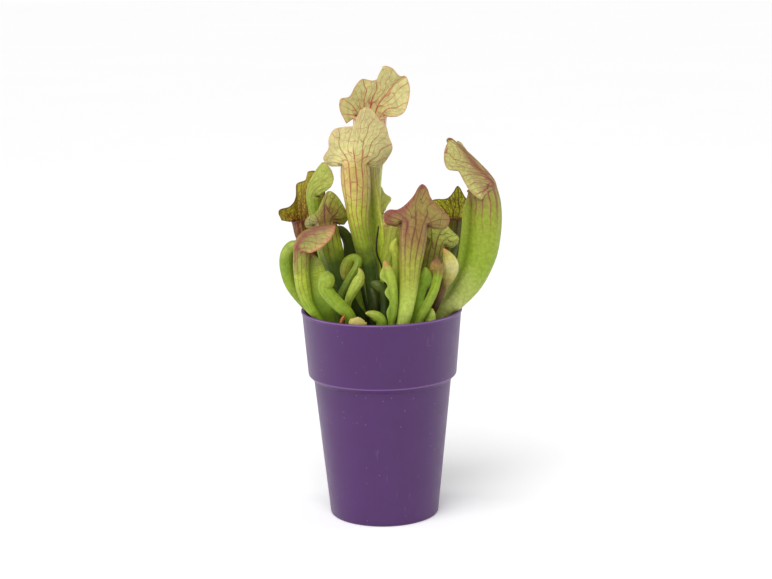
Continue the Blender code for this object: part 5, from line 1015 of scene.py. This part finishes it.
class Shading:
    """Short calls for the nodes of one material or node group."""

    def __init__(self, tree):
        self.tree = tree

    def feed(self, socket, value):
        if isinstance(value, Term):
            self.tree.links.new(value.socket, socket)
        else:
            socket.default_value = value

    def node(self, kind, inputs=(), **settings):
        """A new node with its settings, and its inputs fed in order or by their names or numbers."""
        made = self.tree.nodes.new(kind if kind.startswith("Node") else "ShaderNode" + kind)
        for key, value in settings.items():
            setattr(made, key, value)
        pairs = inputs.items() if isinstance(inputs, dict) else enumerate(inputs)
        for key, value in pairs:
            self.feed(made.inputs[key], value)
        return made

    def terms(self, node):
        return [Term(self, socket) for socket in node.outputs]

    def term(self, kind, inputs=(), output=0, **settings):
        return Term(self, self.node(kind, inputs, **settings).outputs[output])

    def math(self, operation, *values):
        return self.term("Math", values, operation=operation)

    def most(self, first, second):
        return self.math("MAXIMUM", first, second)

    def between(self, value, start, end, low=0.0, high=1.0):
        """Goes smoothly from low to high as value goes from start to end."""
        return self.term("MapRange", (value, start, end, low, high), interpolation_type="SMOOTHSTEP")

    def mix(self, share, first, second, blend="MIX"):
        """Mixes two colours. One given as a tuple is a screen colour from 0 to 255."""
        first, second = (linear(tone) if isinstance(tone, tuple) else tone for tone in (first, second))
        return self.term("Mix", {0: share, 6: first, 7: second}, 2, data_type="RGBA", blend_type=blend)

    def noise(self, vector, scale, detail=2.0, roughness=0.5):
        return self.term("TexNoise", dict(Vector=vector, Scale=scale, Detail=detail, Roughness=roughness))

    def split(self, vector):
        return self.terms(self.node("SeparateXYZ", (vector,)))

    def join(self, x, y, z=0.0):
        return self.term("CombineXYZ", (x, y, z))

    def attribute(self, name):
        return self.split(self.term("Attribute", output="Vector", attribute_name=name))

    def stops(self, value, colours):
        """A run of colours along value, each after its place."""
        made = self.node("ValToRGB", (value,))
        ramp = made.color_ramp
        ramp.interpolation = "EASE"
        while len(ramp.elements) < len(colours):
            ramp.elements.new(0.5)
        for element, (place, *colour) in zip(ramp.elements, colours):
            element.position = place
            element.color = linear(colour)
        return Term(self, made.outputs[0])

    def relief(self, shader, height, strength, distance):
        bump = self.term("Bump", dict(Strength=strength, Distance=distance, Height=height))
        self.feed(shader.inputs["Normal"], bump)


def new_material(name, roughness, specular=0.5):
    """A material with a Principled shader, and the calls for its nodes."""
    made = bpy.data.materials.new(name)
    made.use_nodes = True
    shader = made.node_tree.nodes["Principled BSDF"]
    shader.inputs["Roughness"].default_value = roughness
    shader.inputs["Specular IOR Level"].default_value = specular
    return made, shader, Shading(made.node_tree)


def vein_group():
    """A node group that draws veins: lines that fork as they spread, rungs and a net between them."""
    group = bpy.data.node_groups.new("veins", "ShaderNodeTree")
    for way, names in (("OUTPUT", ("Lines", "Net", "Halo")), ("INPUT", ("Seed", "Width", "Cells"))):
        for name in names:
            group.interface.new_socket(name, in_out=way, socket_type="NodeSocketFloat")
    sh = Shading(group)
    line, spacing, reach = sh.attribute("fan")
    across, up, _ = sh.attribute("net")
    along = sh.attribute("place")[2]
    seed, heavy, fine_share = sh.terms(sh.node("NodeGroupInput"))[:3]
    flat = sh.join(across, up, seed)

    # Each line wanders a little, thickest at the neck, and a branch leaves it where there is room
    side = sh.math("SIGN", line)
    by_line, by_length, wander = VEIN_WANDER
    slow = sh.join(line * by_line, along * by_length, seed)
    line = line + (sh.noise(slow, 1.0, 2.0, 0.4) * wander - wander / 2)
    taper = sh.between(reach, *NECK_SWELLS) * sh.between(reach, *LID_TAPERS)
    swell = sh.between(sh.noise(flat, 0.09, 1.0), *SWELL_RANGE) * taper * heavy
    drawn = []
    for level, (start, end, width) in enumerate(VEIN_LEVELS):
        times = 2.0 ** max(level - 1, 0)
        gap = spacing / times
        shown = sh.between(gap, start, start * BRANCH_SHOWS if level else end)
        ray = line * times
        if level:
            ray = ray - side * sh.between(gap, start, end, 0.0, 0.5)
        distance = sh.math("PINGPONG", ray, 0.5) * gap
        thick = swell * width
        drawn.append(sh.between(distance, thick, thick * VEIN_CORE) * shown)
        if not level:
            halo = sh.between(distance, thick * HALO, 0.0)
    lines = sh.most(sh.most(drawn[0], drawn[1]), drawn[2] * 0.75)

    # Rungs cross slantwise from one line to the next, each row of them shifted by chance
    row = sh.join(sh.math("FLOOR", line), seed)
    shift, slant, _ = sh.split(sh.term("TexWhiteNoise", dict(Vector=row), "Color", noise_dimensions="2D"))
    climb = sh.math("FRACT", line) * ((slant - 0.5) * (spacing * RUNG_SLANT)) + along
    climb = (climb + sh.noise(flat, 0.11, 1.0) * (RUNG_STEP * RUNG_DRIFT)) / RUNG_STEP + shift
    rungs = sh.between(sh.math("PINGPONG", climb, 0.5) * RUNG_STEP, RUNG_WIDTH, RUNG_WIDTH * 0.25)

    # A fine faint net of cells, bent by a little noise
    cell_x, cell_y, width = VEIN_CELL
    bent_x = sh.noise(flat, 0.45, 1.0) * CELL_BEND + across
    bent_y = sh.noise(sh.join(up, across, seed), 0.45, 1.0) * CELL_BEND + up
    spot = sh.join(bent_x / cell_x, bent_y / cell_y, seed * 3.7)
    edge = sh.term("TexVoronoi", dict(Vector=spot, Scale=1.0), "Distance", feature="DISTANCE_TO_EDGE")
    thin = fine_share * width + width * 0.75
    cells = sh.between(edge * cell_x, thin, thin * 0.2) * fine_share
    sh.node("NodeGroupOutput", (lines, sh.most(rungs, cells), halo))
    return group


def leaf_material(name, veins, look):
    """The skin of a leaf: colours from foot to lid, veins, a coloured edge and a little relief."""
    look = dict(LEAF, **look)
    seed = seed_of(name)
    made, shader, sh = new_material(name + "_skin", 0.5, 0.3)
    line, _, reach = sh.attribute("fan")
    edge, inside, _ = sh.attribute("place")
    across, up, fold_shade = sh.attribute("net")
    flat = sh.join(across, up, seed)
    lines, net, halo = sh.terms(sh.node("Group", (seed, look["heavy"], look["cells"]), node_tree=veins))

    # Colour from foot to lid, blotched, and another colour on the inside: paler on most leaves,
    # and darker where it is painted shade in a hollow
    shifted = reach + (sh.noise(flat, 0.11, 3.0) * 0.24 - 0.12)
    shifted = line * sh.between(reach, 0.9, 1.2, look["tilt"] * 0.15, look["tilt"]) + shifted
    base = sh.stops(shifted * 0.5, look["skin"])
    base = sh.mix(inside * look["inner_share"], base, look["inner"])
    mottle = sh.between(sh.noise(flat, 0.5, 3.0), *MOTTLE_RANGE)
    base = sh.mix(1.0, base, sh.join(mottle, mottle, mottle * 0.97), "MULTIPLY")

    # A band of another colour along one line of the lid, which the path moves aside towards the neck
    lean, shift, half = look["ridge_path"]
    aside = abs(line + (reach * -lean + (2 * lean + shift)))
    ridge = sh.between(aside, half, 0.0, 0.0, look["ridge_share"]) * sh.between(reach, 0.7, 1.0)
    base = sh.mix(ridge, base, look["ridge"])

    # A flush of red where the veins are dense, and then the veins themselves
    start, end = look["veins_from"]
    thin_out = sh.between(reach, 1.35, 2.0, 1.0, look["margin_veins"])
    main = sh.between(reach, start, end) * thin_out * look["lines"]
    mesh = sh.between(reach, start + 0.12, end + 0.1) * thin_out * look["net"]
    near_neck = sh.between(reach, 0.72, 1.02) * sh.between(reach, 1.45, 1.02)
    flush = near_neck * sh.between(sh.noise(flat, 0.2), *FLUSH_RANGE)
    base = sh.mix(sh.most(flush, halo * main) * look["flush"], base, look["vein"])
    both = sh.most(lines * main, net * mesh) * sh.between(sh.noise(flat, 0.22), *FAINT_RANGE)
    colour = sh.mix(both, base, look["vein"])
    # Painted shade in the pits where the lid's lobes meet the mouth
    colour = sh.mix(sh.most(fold_shade, 0.0) * look["pits"], colour, PIT_SHADE_COLOUR, "MULTIPLY")
    # Painted shade in the valley where the wing leaves the tube
    colour = sh.mix(sh.most(fold_shade * -1.0, 0.0) * look["valley_shade"], colour, VALLEY_SHADE_COLOUR, "MULTIPLY")

    # The free edge: a thin line round the lid, on the lip and along the wing
    rimmed = sh.between(edge, look["edge_width"], look["edge_width"] * 0.3) * look["edge_share"]
    trim = sh.mix(sh.between(reach, 0.93, 0.99), look["wing_edge"], look["edge"])
    sh.feed(shader.inputs["Base Color"], sh.mix(rimmed, colour, trim))

    sh.feed(shader.inputs["Roughness"], sh.between(sh.noise(flat, 0.9), *LEAF_ROUGHNESS))
    for key, value in zip(("Weight", "Radius", "Scale"), GLOW):
        shader.inputs["Subsurface " + key].default_value = value
    height = lines * 0.7 + net * 0.3 + sh.noise(flat, 1.4, 3.0) * 0.5
    sh.relief(shader, height, look["relief"], LEAF_BUMP)
    return made


def plastic_material():
    """The pot's plastic: satin, fine grain, small scuffs, a few pale specks and painted edge highlights."""
    made, shader, sh = new_material("pot_plastic", 0.4, 0.45)
    where = sh.term("TexCoord", output="Object")
    colour = sh.mix(sh.noise(where, 60, 3.0), *PLASTIC)
    distance, tint = sh.terms(sh.node("TexVoronoi", dict(Vector=where, Scale=420), feature="F1"))[:2]
    speck = sh.between(distance, 0.16, 0.08) * sh.between(sh.split(tint)[0], 0.86, 0.9)
    tone, share = SPECKS
    colour = sh.mix(speck * share, colour, tone)
    x, y, z = sh.split(where)
    # Painted highlights: paler lines along the collar's lower edge and the rim's top
    tone, share = HIGHLIGHT
    for height, half in HIGHLIGHT_EDGES:
        colour = sh.mix(sh.between(abs(z - height * MM), half * MM, 0.0, 0.0, share), colour, tone)
    scuff = sh.between(sh.noise(sh.join(x * 900, y * 900, z * 60), 1.0, 3.0), 0.62, 0.74)
    scuff = scuff * sh.between(sh.noise(where, 45), 0.5, 0.7)
    tone, share = SCUFFS
    sh.feed(shader.inputs["Base Color"], sh.mix(scuff * share, colour, tone))
    rough = sh.between(sh.noise(where, 110, 3.0), *PLASTIC_ROUGHNESS)
    sh.feed(shader.inputs["Roughness"], rough + scuff * 0.2)
    sh.relief(shader, sh.noise(where, 1500) + speck * 1.5, 0.12, 0.0001)
    return made


def earth_material(name, dark, light, scale):
    """Peat or rhizome: a rough skin of two tones, with relief."""
    made, shader, sh = new_material(name, 0.9, 0.2)
    where = sh.term("TexCoord", output="Object")
    tone = sh.between(sh.noise(where, scale, 6.0, 0.65), 0.35, 0.7)
    sh.feed(shader.inputs["Base Color"], sh.mix(tone, dark, light))
    sh.relief(shader, sh.noise(where, scale * 2, 6.0, 0.7), 0.7, 0.0006)
    return made


def turned_mesh(name, profile, sides):
    """A closed mesh turned round Z from a profile of radius and height that starts and ends on the axis."""
    turn = np.arange(sides) * 2 * math.pi / sides
    rings = [numbers((sides,), r * np.cos(turn), r * np.sin(turn), z) for r, z in profile[1:-1]]
    points = [*np.concatenate(rings), (0, 0, profile[0][1]), (0, 0, profile[-1][1])]
    faces = []
    last = (len(rings) - 1) * sides
    for low in range(0, last, sides):
        for i in range(sides):
            j = (i + 1) % sides
            faces.append((low + i, low + j, low + sides + j, low + sides + i))
    for i in range(sides):
        j = (i + 1) % sides
        faces.append((j, i, len(points) - 2))
        faces.append((last + i, last + j, len(points) - 1))
    return mesh_of(name, points, faces)


def body_radius(height, inset=0.0):
    """The outer radius of the pot's lower body at a height, less an inset."""
    return BASE_RADIUS + (BODY_TOP_RADIUS - BASE_RADIUS) / BODY_TOP_HEIGHT * height - inset


def collar_radius(height, inset=0.0):
    slope = (COLLAR_TOP_RADIUS - COLLAR_FOOT_RADIUS) / (POT_HEIGHT - COLLAR_FOOT_HEIGHT)
    return COLLAR_FOOT_RADIUS + slope * (height - COLLAR_FOOT_HEIGHT) - inset


def rounded(corners, radii, steps=5):
    """The corners of a profile, each rounded off by a curve that starts a little way before it."""
    path = [corners[0]]
    for before, corner, after, radius in zip(corners, corners[1:], corners[2:], radii):
        before, corner, after = (np.array(point, float) for point in (before, corner, after))
        start, end = (
            corner + unit(other - corner) * min(radius, np.linalg.norm(other - corner) * ROUND_SHARE)
            for other in (before, after)
        )
        for t in np.linspace(0, 1, steps):
            path.append(tuple((1 - t) ** 2 * start + 2 * t * (1 - t) * corner + t * t * end))
    return [*path, corners[-1]]


def pot_profile():
    """The pot's section: each corner with the length over which it is rounded off."""
    top = POT_HEIGHT
    corners = [
        ((0.0, 0.0), 0.0),
        ((BASE_RADIUS, 0.0), 1.4),
        ((BODY_TOP_RADIUS, BODY_TOP_HEIGHT), 0.5),
        ((BODY_TOP_RADIUS + 0.9, BODY_TOP_HEIGHT + 0.6), 0.4),
        ((COLLAR_FOOT_RADIUS - 1.0, COLLAR_FOOT_HEIGHT - 2.2), 0.4),
        ((COLLAR_FOOT_RADIUS, COLLAR_FOOT_HEIGHT - 1.4), 0.6),
        ((collar_radius(top - 2.0), top - 2.0), 0.4),
        ((RIM_RADIUS, top - 1.3), 0.4),
        ((RIM_RADIUS, top), 0.7),
        ((RIM_RADIUS - RIM_WIDTH, top), 0.7),
        ((collar_radius(top - 2.0, WALL), top - 2.0), 0.6),
        ((COLLAR_FOOT_RADIUS - WALL, COLLAR_FOOT_HEIGHT), 1.0),
        ((BODY_TOP_RADIUS - WALL, STEP_HEIGHT), 1.0),
        ((body_radius(FLOOR, WALL), FLOOR), 1.6),
        ((0.0, FLOOR), 0.0),
    ]
    return rounded([point for point, _ in corners], [radius for _, radius in corners[1:-1]])


def make_pot(material):
    """The pot, with its drainage holes cut out of the floor."""
    mesh = turned_mesh("pot_body", pot_profile(), POT_SIDES)
    pot = finish_piece("pot_body", mesh, "pot", material)
    pot.data.set_sharp_from_angle(angle=math.radians(SHARP_ANGLE))
    cutters = []
    hole = [(0.0, -1.0), (DRAIN_RADIUS, -1.0), (DRAIN_RADIUS, FLOOR + 1.0), (0.0, FLOOR + 1.0)]
    for i in range(DRAIN_HOLES):
        turn = 2 * math.pi * i / DRAIN_HOLES
        cutter = put(f"drain_{i}", turned_mesh(f"drain_{i}", hole, DRAIN_SIDES))
        cutter.location = (DRAIN_CIRCLE * MM * math.cos(turn), DRAIN_CIRCLE * MM * math.sin(turn), 0.0)
        cutters.append(cutter)
        modifier = pot.modifiers.new("drain", "BOOLEAN")
        modifier.operation = "DIFFERENCE"
        modifier.solver = "EXACT"
        modifier.object = cutter
    bpy.context.view_layer.update()
    cut = bpy.data.meshes.new_from_object(pot.evaluated_get(bpy.context.evaluated_depsgraph_get()))
    pot.modifiers.clear()
    pot.data = cut
    for cutter in cutters:
        bpy.data.objects.remove(cutter, do_unlink=True)


def soil_height(x, y):
    """The relief of the peat's top in mm: broad humps, and a slight fall to the pot's wall."""
    humps = math.sin(x * 0.31 + 1.2) * math.cos(y * 0.27 - 0.5) + 0.6 * math.sin(x * 0.72 - y * 0.55)
    return SOIL_LEVEL + SOIL_RELIEF * humps - SOIL_FALL * (math.hypot(x, y) / RIM_RADIUS) ** 4


def make_soil(material):
    """The peat that fills the pot, with loose crumbs on top."""
    rng = random.Random(11)
    inset = WALL + GAP
    edge = collar_radius(SOIL_LEVEL, inset)
    profile = [
        (0.0, FLOOR + GAP),
        (body_radius(FLOOR, inset) - 2.0, FLOOR + GAP),
        (body_radius(STEP_HEIGHT - GAP, inset), STEP_HEIGHT - GAP),
        (COLLAR_FOOT_RADIUS - inset - GAP, COLLAR_FOOT_HEIGHT),
        *[(edge * (1 - i / SOIL_RINGS), SOIL_LEVEL) for i in range(SOIL_RINGS)],
        (0.0, SOIL_LEVEL),
    ]
    mesh = turned_mesh("peat_top", profile, SOIL_SIDES)
    for vertex in mesh.vertices:
        x, y, z = vertex.co / MM
        if z > SOIL_LEVEL - 1:
            grit = rng.uniform(-GRIT, GRIT)
            vertex.co = Vector((x + grit * 0.6, y - grit * 0.5, soil_height(x, y) + grit)) * MM
    work = bmesh.new()
    work.from_mesh(mesh)
    for _ in range(CRUMBS):
        radius = edge * math.sqrt(rng.random()) * 0.97
        turn = rng.uniform(0, 2 * math.pi)
        x, y = radius * math.cos(turn), radius * math.sin(turn)
        size = rng.uniform(*CRUMB_SIZE) * rng.uniform(0.6, 1.0)
        place = Matrix.Translation(Vector((x, y, soil_height(x, y) + size * 0.3)) * MM)
        tilt = Matrix.Rotation(rng.uniform(0, 6.3), 4, (rng.random() - 0.5, rng.random(), rng.random()))
        stretch = Matrix.Diagonal((size * MM, size * rng.uniform(0.5, 0.9) * MM, size * 0.6 * MM, 1))
        made = bmesh.ops.create_icosphere(work, subdivisions=1, radius=1.0, matrix=place @ tilt @ stretch)
        for vertex in made["verts"]:
            vertex.co += Vector([rng.uniform(-CRUMB_DENT, CRUMB_DENT) * size * MM for _ in range(3)])
    work.to_mesh(mesh)
    work.free()
    finish_piece("peat", mesh, "soil", material)


def make_rhizome(material):
    """The knobbly log that the leaves grow from, ringed by old leaf scars."""
    spine = smooth_rows(RHIZOME, RHIZOME_ROWS)
    along = unit(np.gradient(spine[:, :3], axis=0))
    across = unit(np.cross(along, [0, 0, 1.0]))
    upright = np.cross(across, along)
    turn = np.arange(RHIZOME_SIDES) * 2 * math.pi / RHIZOME_SIDES
    place = np.linspace(0, 1, RHIZOME_ROWS)[:, None]
    knobs = KNOBS * np.sin(3 * turn[None] + place * 19)
    scars = SCARS * np.sin(place * 85 + np.sin(turn * 2))
    taper = np.maximum(np.sqrt(np.clip(1 - (2 * place - 1) ** 8, 0.0, 1.0)), 0.05)
    radius = spine[:, 3:4] * (1 + knobs + scars) * taper
    sideways = across[:, None] * (radius * np.cos(turn))[..., None]
    upwards = upright[:, None] * (radius * np.sin(turn))[..., None]
    surface = Surface()
    rings = surface.add(spine[:, None, :3] + sideways + upwards)
    surface.grid(rings, closed=True)
    surface.cap(rings[0])
    surface.cap(rings[-1])
    surface.finish("rhizome_log", "rhizome", material)


def aim_lamp(name, light, place):
    """Puts a lamp in its place and turns it to the plant."""
    lamp = put(name, light)
    lamp.location = place
    lamp.rotation_euler = (Vector(LAMP_AIM) - Vector(place)).to_track_quat("-Z", "Y").to_euler()


def make_room():
    """A pale floor, soft light from all round and the camera."""
    corners = [(x * FLOOR_HALF, y * FLOOR_HALF, 0) for x, y in ((-1, -1), (1, -1), (1, 1), (-1, 1))]
    floor = put("floor", mesh_of("floor", corners, [(0, 1, 2, 3)]))
    pale, shader, sh = new_material("pale_floor", 0.9, 0.1)
    tone = sh.noise(sh.term("TexCoord", output="Object"), 3.0)
    sh.feed(shader.inputs["Base Color"], sh.mix(tone, *FLOOR_TONES))
    floor.data.materials.append(pale)

    world = bpy.data.worlds.new("studio")
    world.use_nodes = True
    sh = Shading(world.node_tree)
    background = world.node_tree.nodes["Background"]
    background.inputs["Color"].default_value = (1.0, 1.0, 1.0, 1.0)
    seen = sh.term("LightPath", output="Is Camera Ray")
    sh.feed(background.inputs["Strength"], seen * (SKY_SEEN - SKY_LIGHT) + SKY_LIGHT)
    bpy.context.scene.world = world

    sun = bpy.data.lights.new("sun", "SUN")
    sun.energy = SUN_STRENGTH
    sun.angle = math.radians(SUN_ANGLE)
    aim_lamp("sun", sun, SUN_PLACE)
    for name, place, size, power in SOFTBOXES:
        light = bpy.data.lights.new(name, "AREA")
        light.shape = "RECTANGLE"
        light.size, light.size_y = size
        light.energy = power
        aim_lamp(name, light, place)

    camera_data = bpy.data.cameras.new("camera")
    camera_data.sensor_width = SENSOR
    camera_data.lens = SENSOR * FOCAL_PIXELS / IMAGE_WIDTH
    camera_data.clip_start, camera_data.clip_end = CLIP
    camera = put("camera", camera_data)
    camera.matrix_world = (
        Matrix.Translation(CAMERA_PLACE)
        @ Matrix.Rotation(math.radians(-CAMERA_YAW), 4, "Z")
        @ Matrix.Rotation(math.radians(90 - CAMERA_PITCH), 4, "X")
        @ Matrix.Rotation(math.radians(-CAMERA_ROLL), 4, "Z")
    )
    bpy.context.scene.camera = camera
    bpy.context.scene.view_settings.view_transform = "Standard"


def back_pitcher(foot, mouth, facing, size):
    """The table of one open pitcher of the far side, bowed up from its foot to its mouth."""
    foot = np.array([*foot, FOOT_HEIGHT])
    mouth = np.array(mouth)
    bow = np.linalg.norm(mouth - foot) * BACK_BOW
    stations = []
    for place, across, front, wing in BACK_GIRTHS:
        centre = foot + (mouth - foot) * place
        centre[2] += bow * place * (1 - place)
        stations.append((*centre, across * size, front * size, wing * size))
    lid = np.array(BACK_MARGIN) * size
    return dict(facing=(facing, facing), rise=BACK_RISE, stations=stations, lid=lid)


def keep_size():
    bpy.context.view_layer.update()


def main():
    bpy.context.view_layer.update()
    slots = {row["node"]: row["material_slot"] for row in frame["record"]["subparts"]}
    veins = vein_group()
    for name, table in OPEN_PITCHERS.items():
        skin = leaf_material(name, veins, LOOKS[name])
        open_pitcher(name, slots[name], skin, SHAPES.get(name, {}), **table)
    for number, (*row, like) in enumerate(BACK_PITCHERS, 1):
        name = f"back_pitcher_{number}"
        skin = leaf_material(name, veins, LOOKS[like])
        open_pitcher(name, slots[name], skin, BACK_FINE, **back_pitcher(*row))
    for name, (facing, stations) in CLOSED_PITCHERS.items():
        skin = leaf_material(name, veins, dict(YOUNG, **LOOKS.get(name, {})))
        closed_pitcher(name, skin, facing, stations)
    make_rhizome(earth_material(*BARK))
    make_soil(earth_material(*PEAT))
    make_pot(plastic_material())
    make_room()
    keep_size()


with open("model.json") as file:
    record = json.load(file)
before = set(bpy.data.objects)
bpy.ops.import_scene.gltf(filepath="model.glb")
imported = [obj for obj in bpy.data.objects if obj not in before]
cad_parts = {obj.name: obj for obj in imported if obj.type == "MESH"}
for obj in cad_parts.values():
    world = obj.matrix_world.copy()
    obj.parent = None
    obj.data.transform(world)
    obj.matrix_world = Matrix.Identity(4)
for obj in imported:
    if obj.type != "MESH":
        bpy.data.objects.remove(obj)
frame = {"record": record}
main()
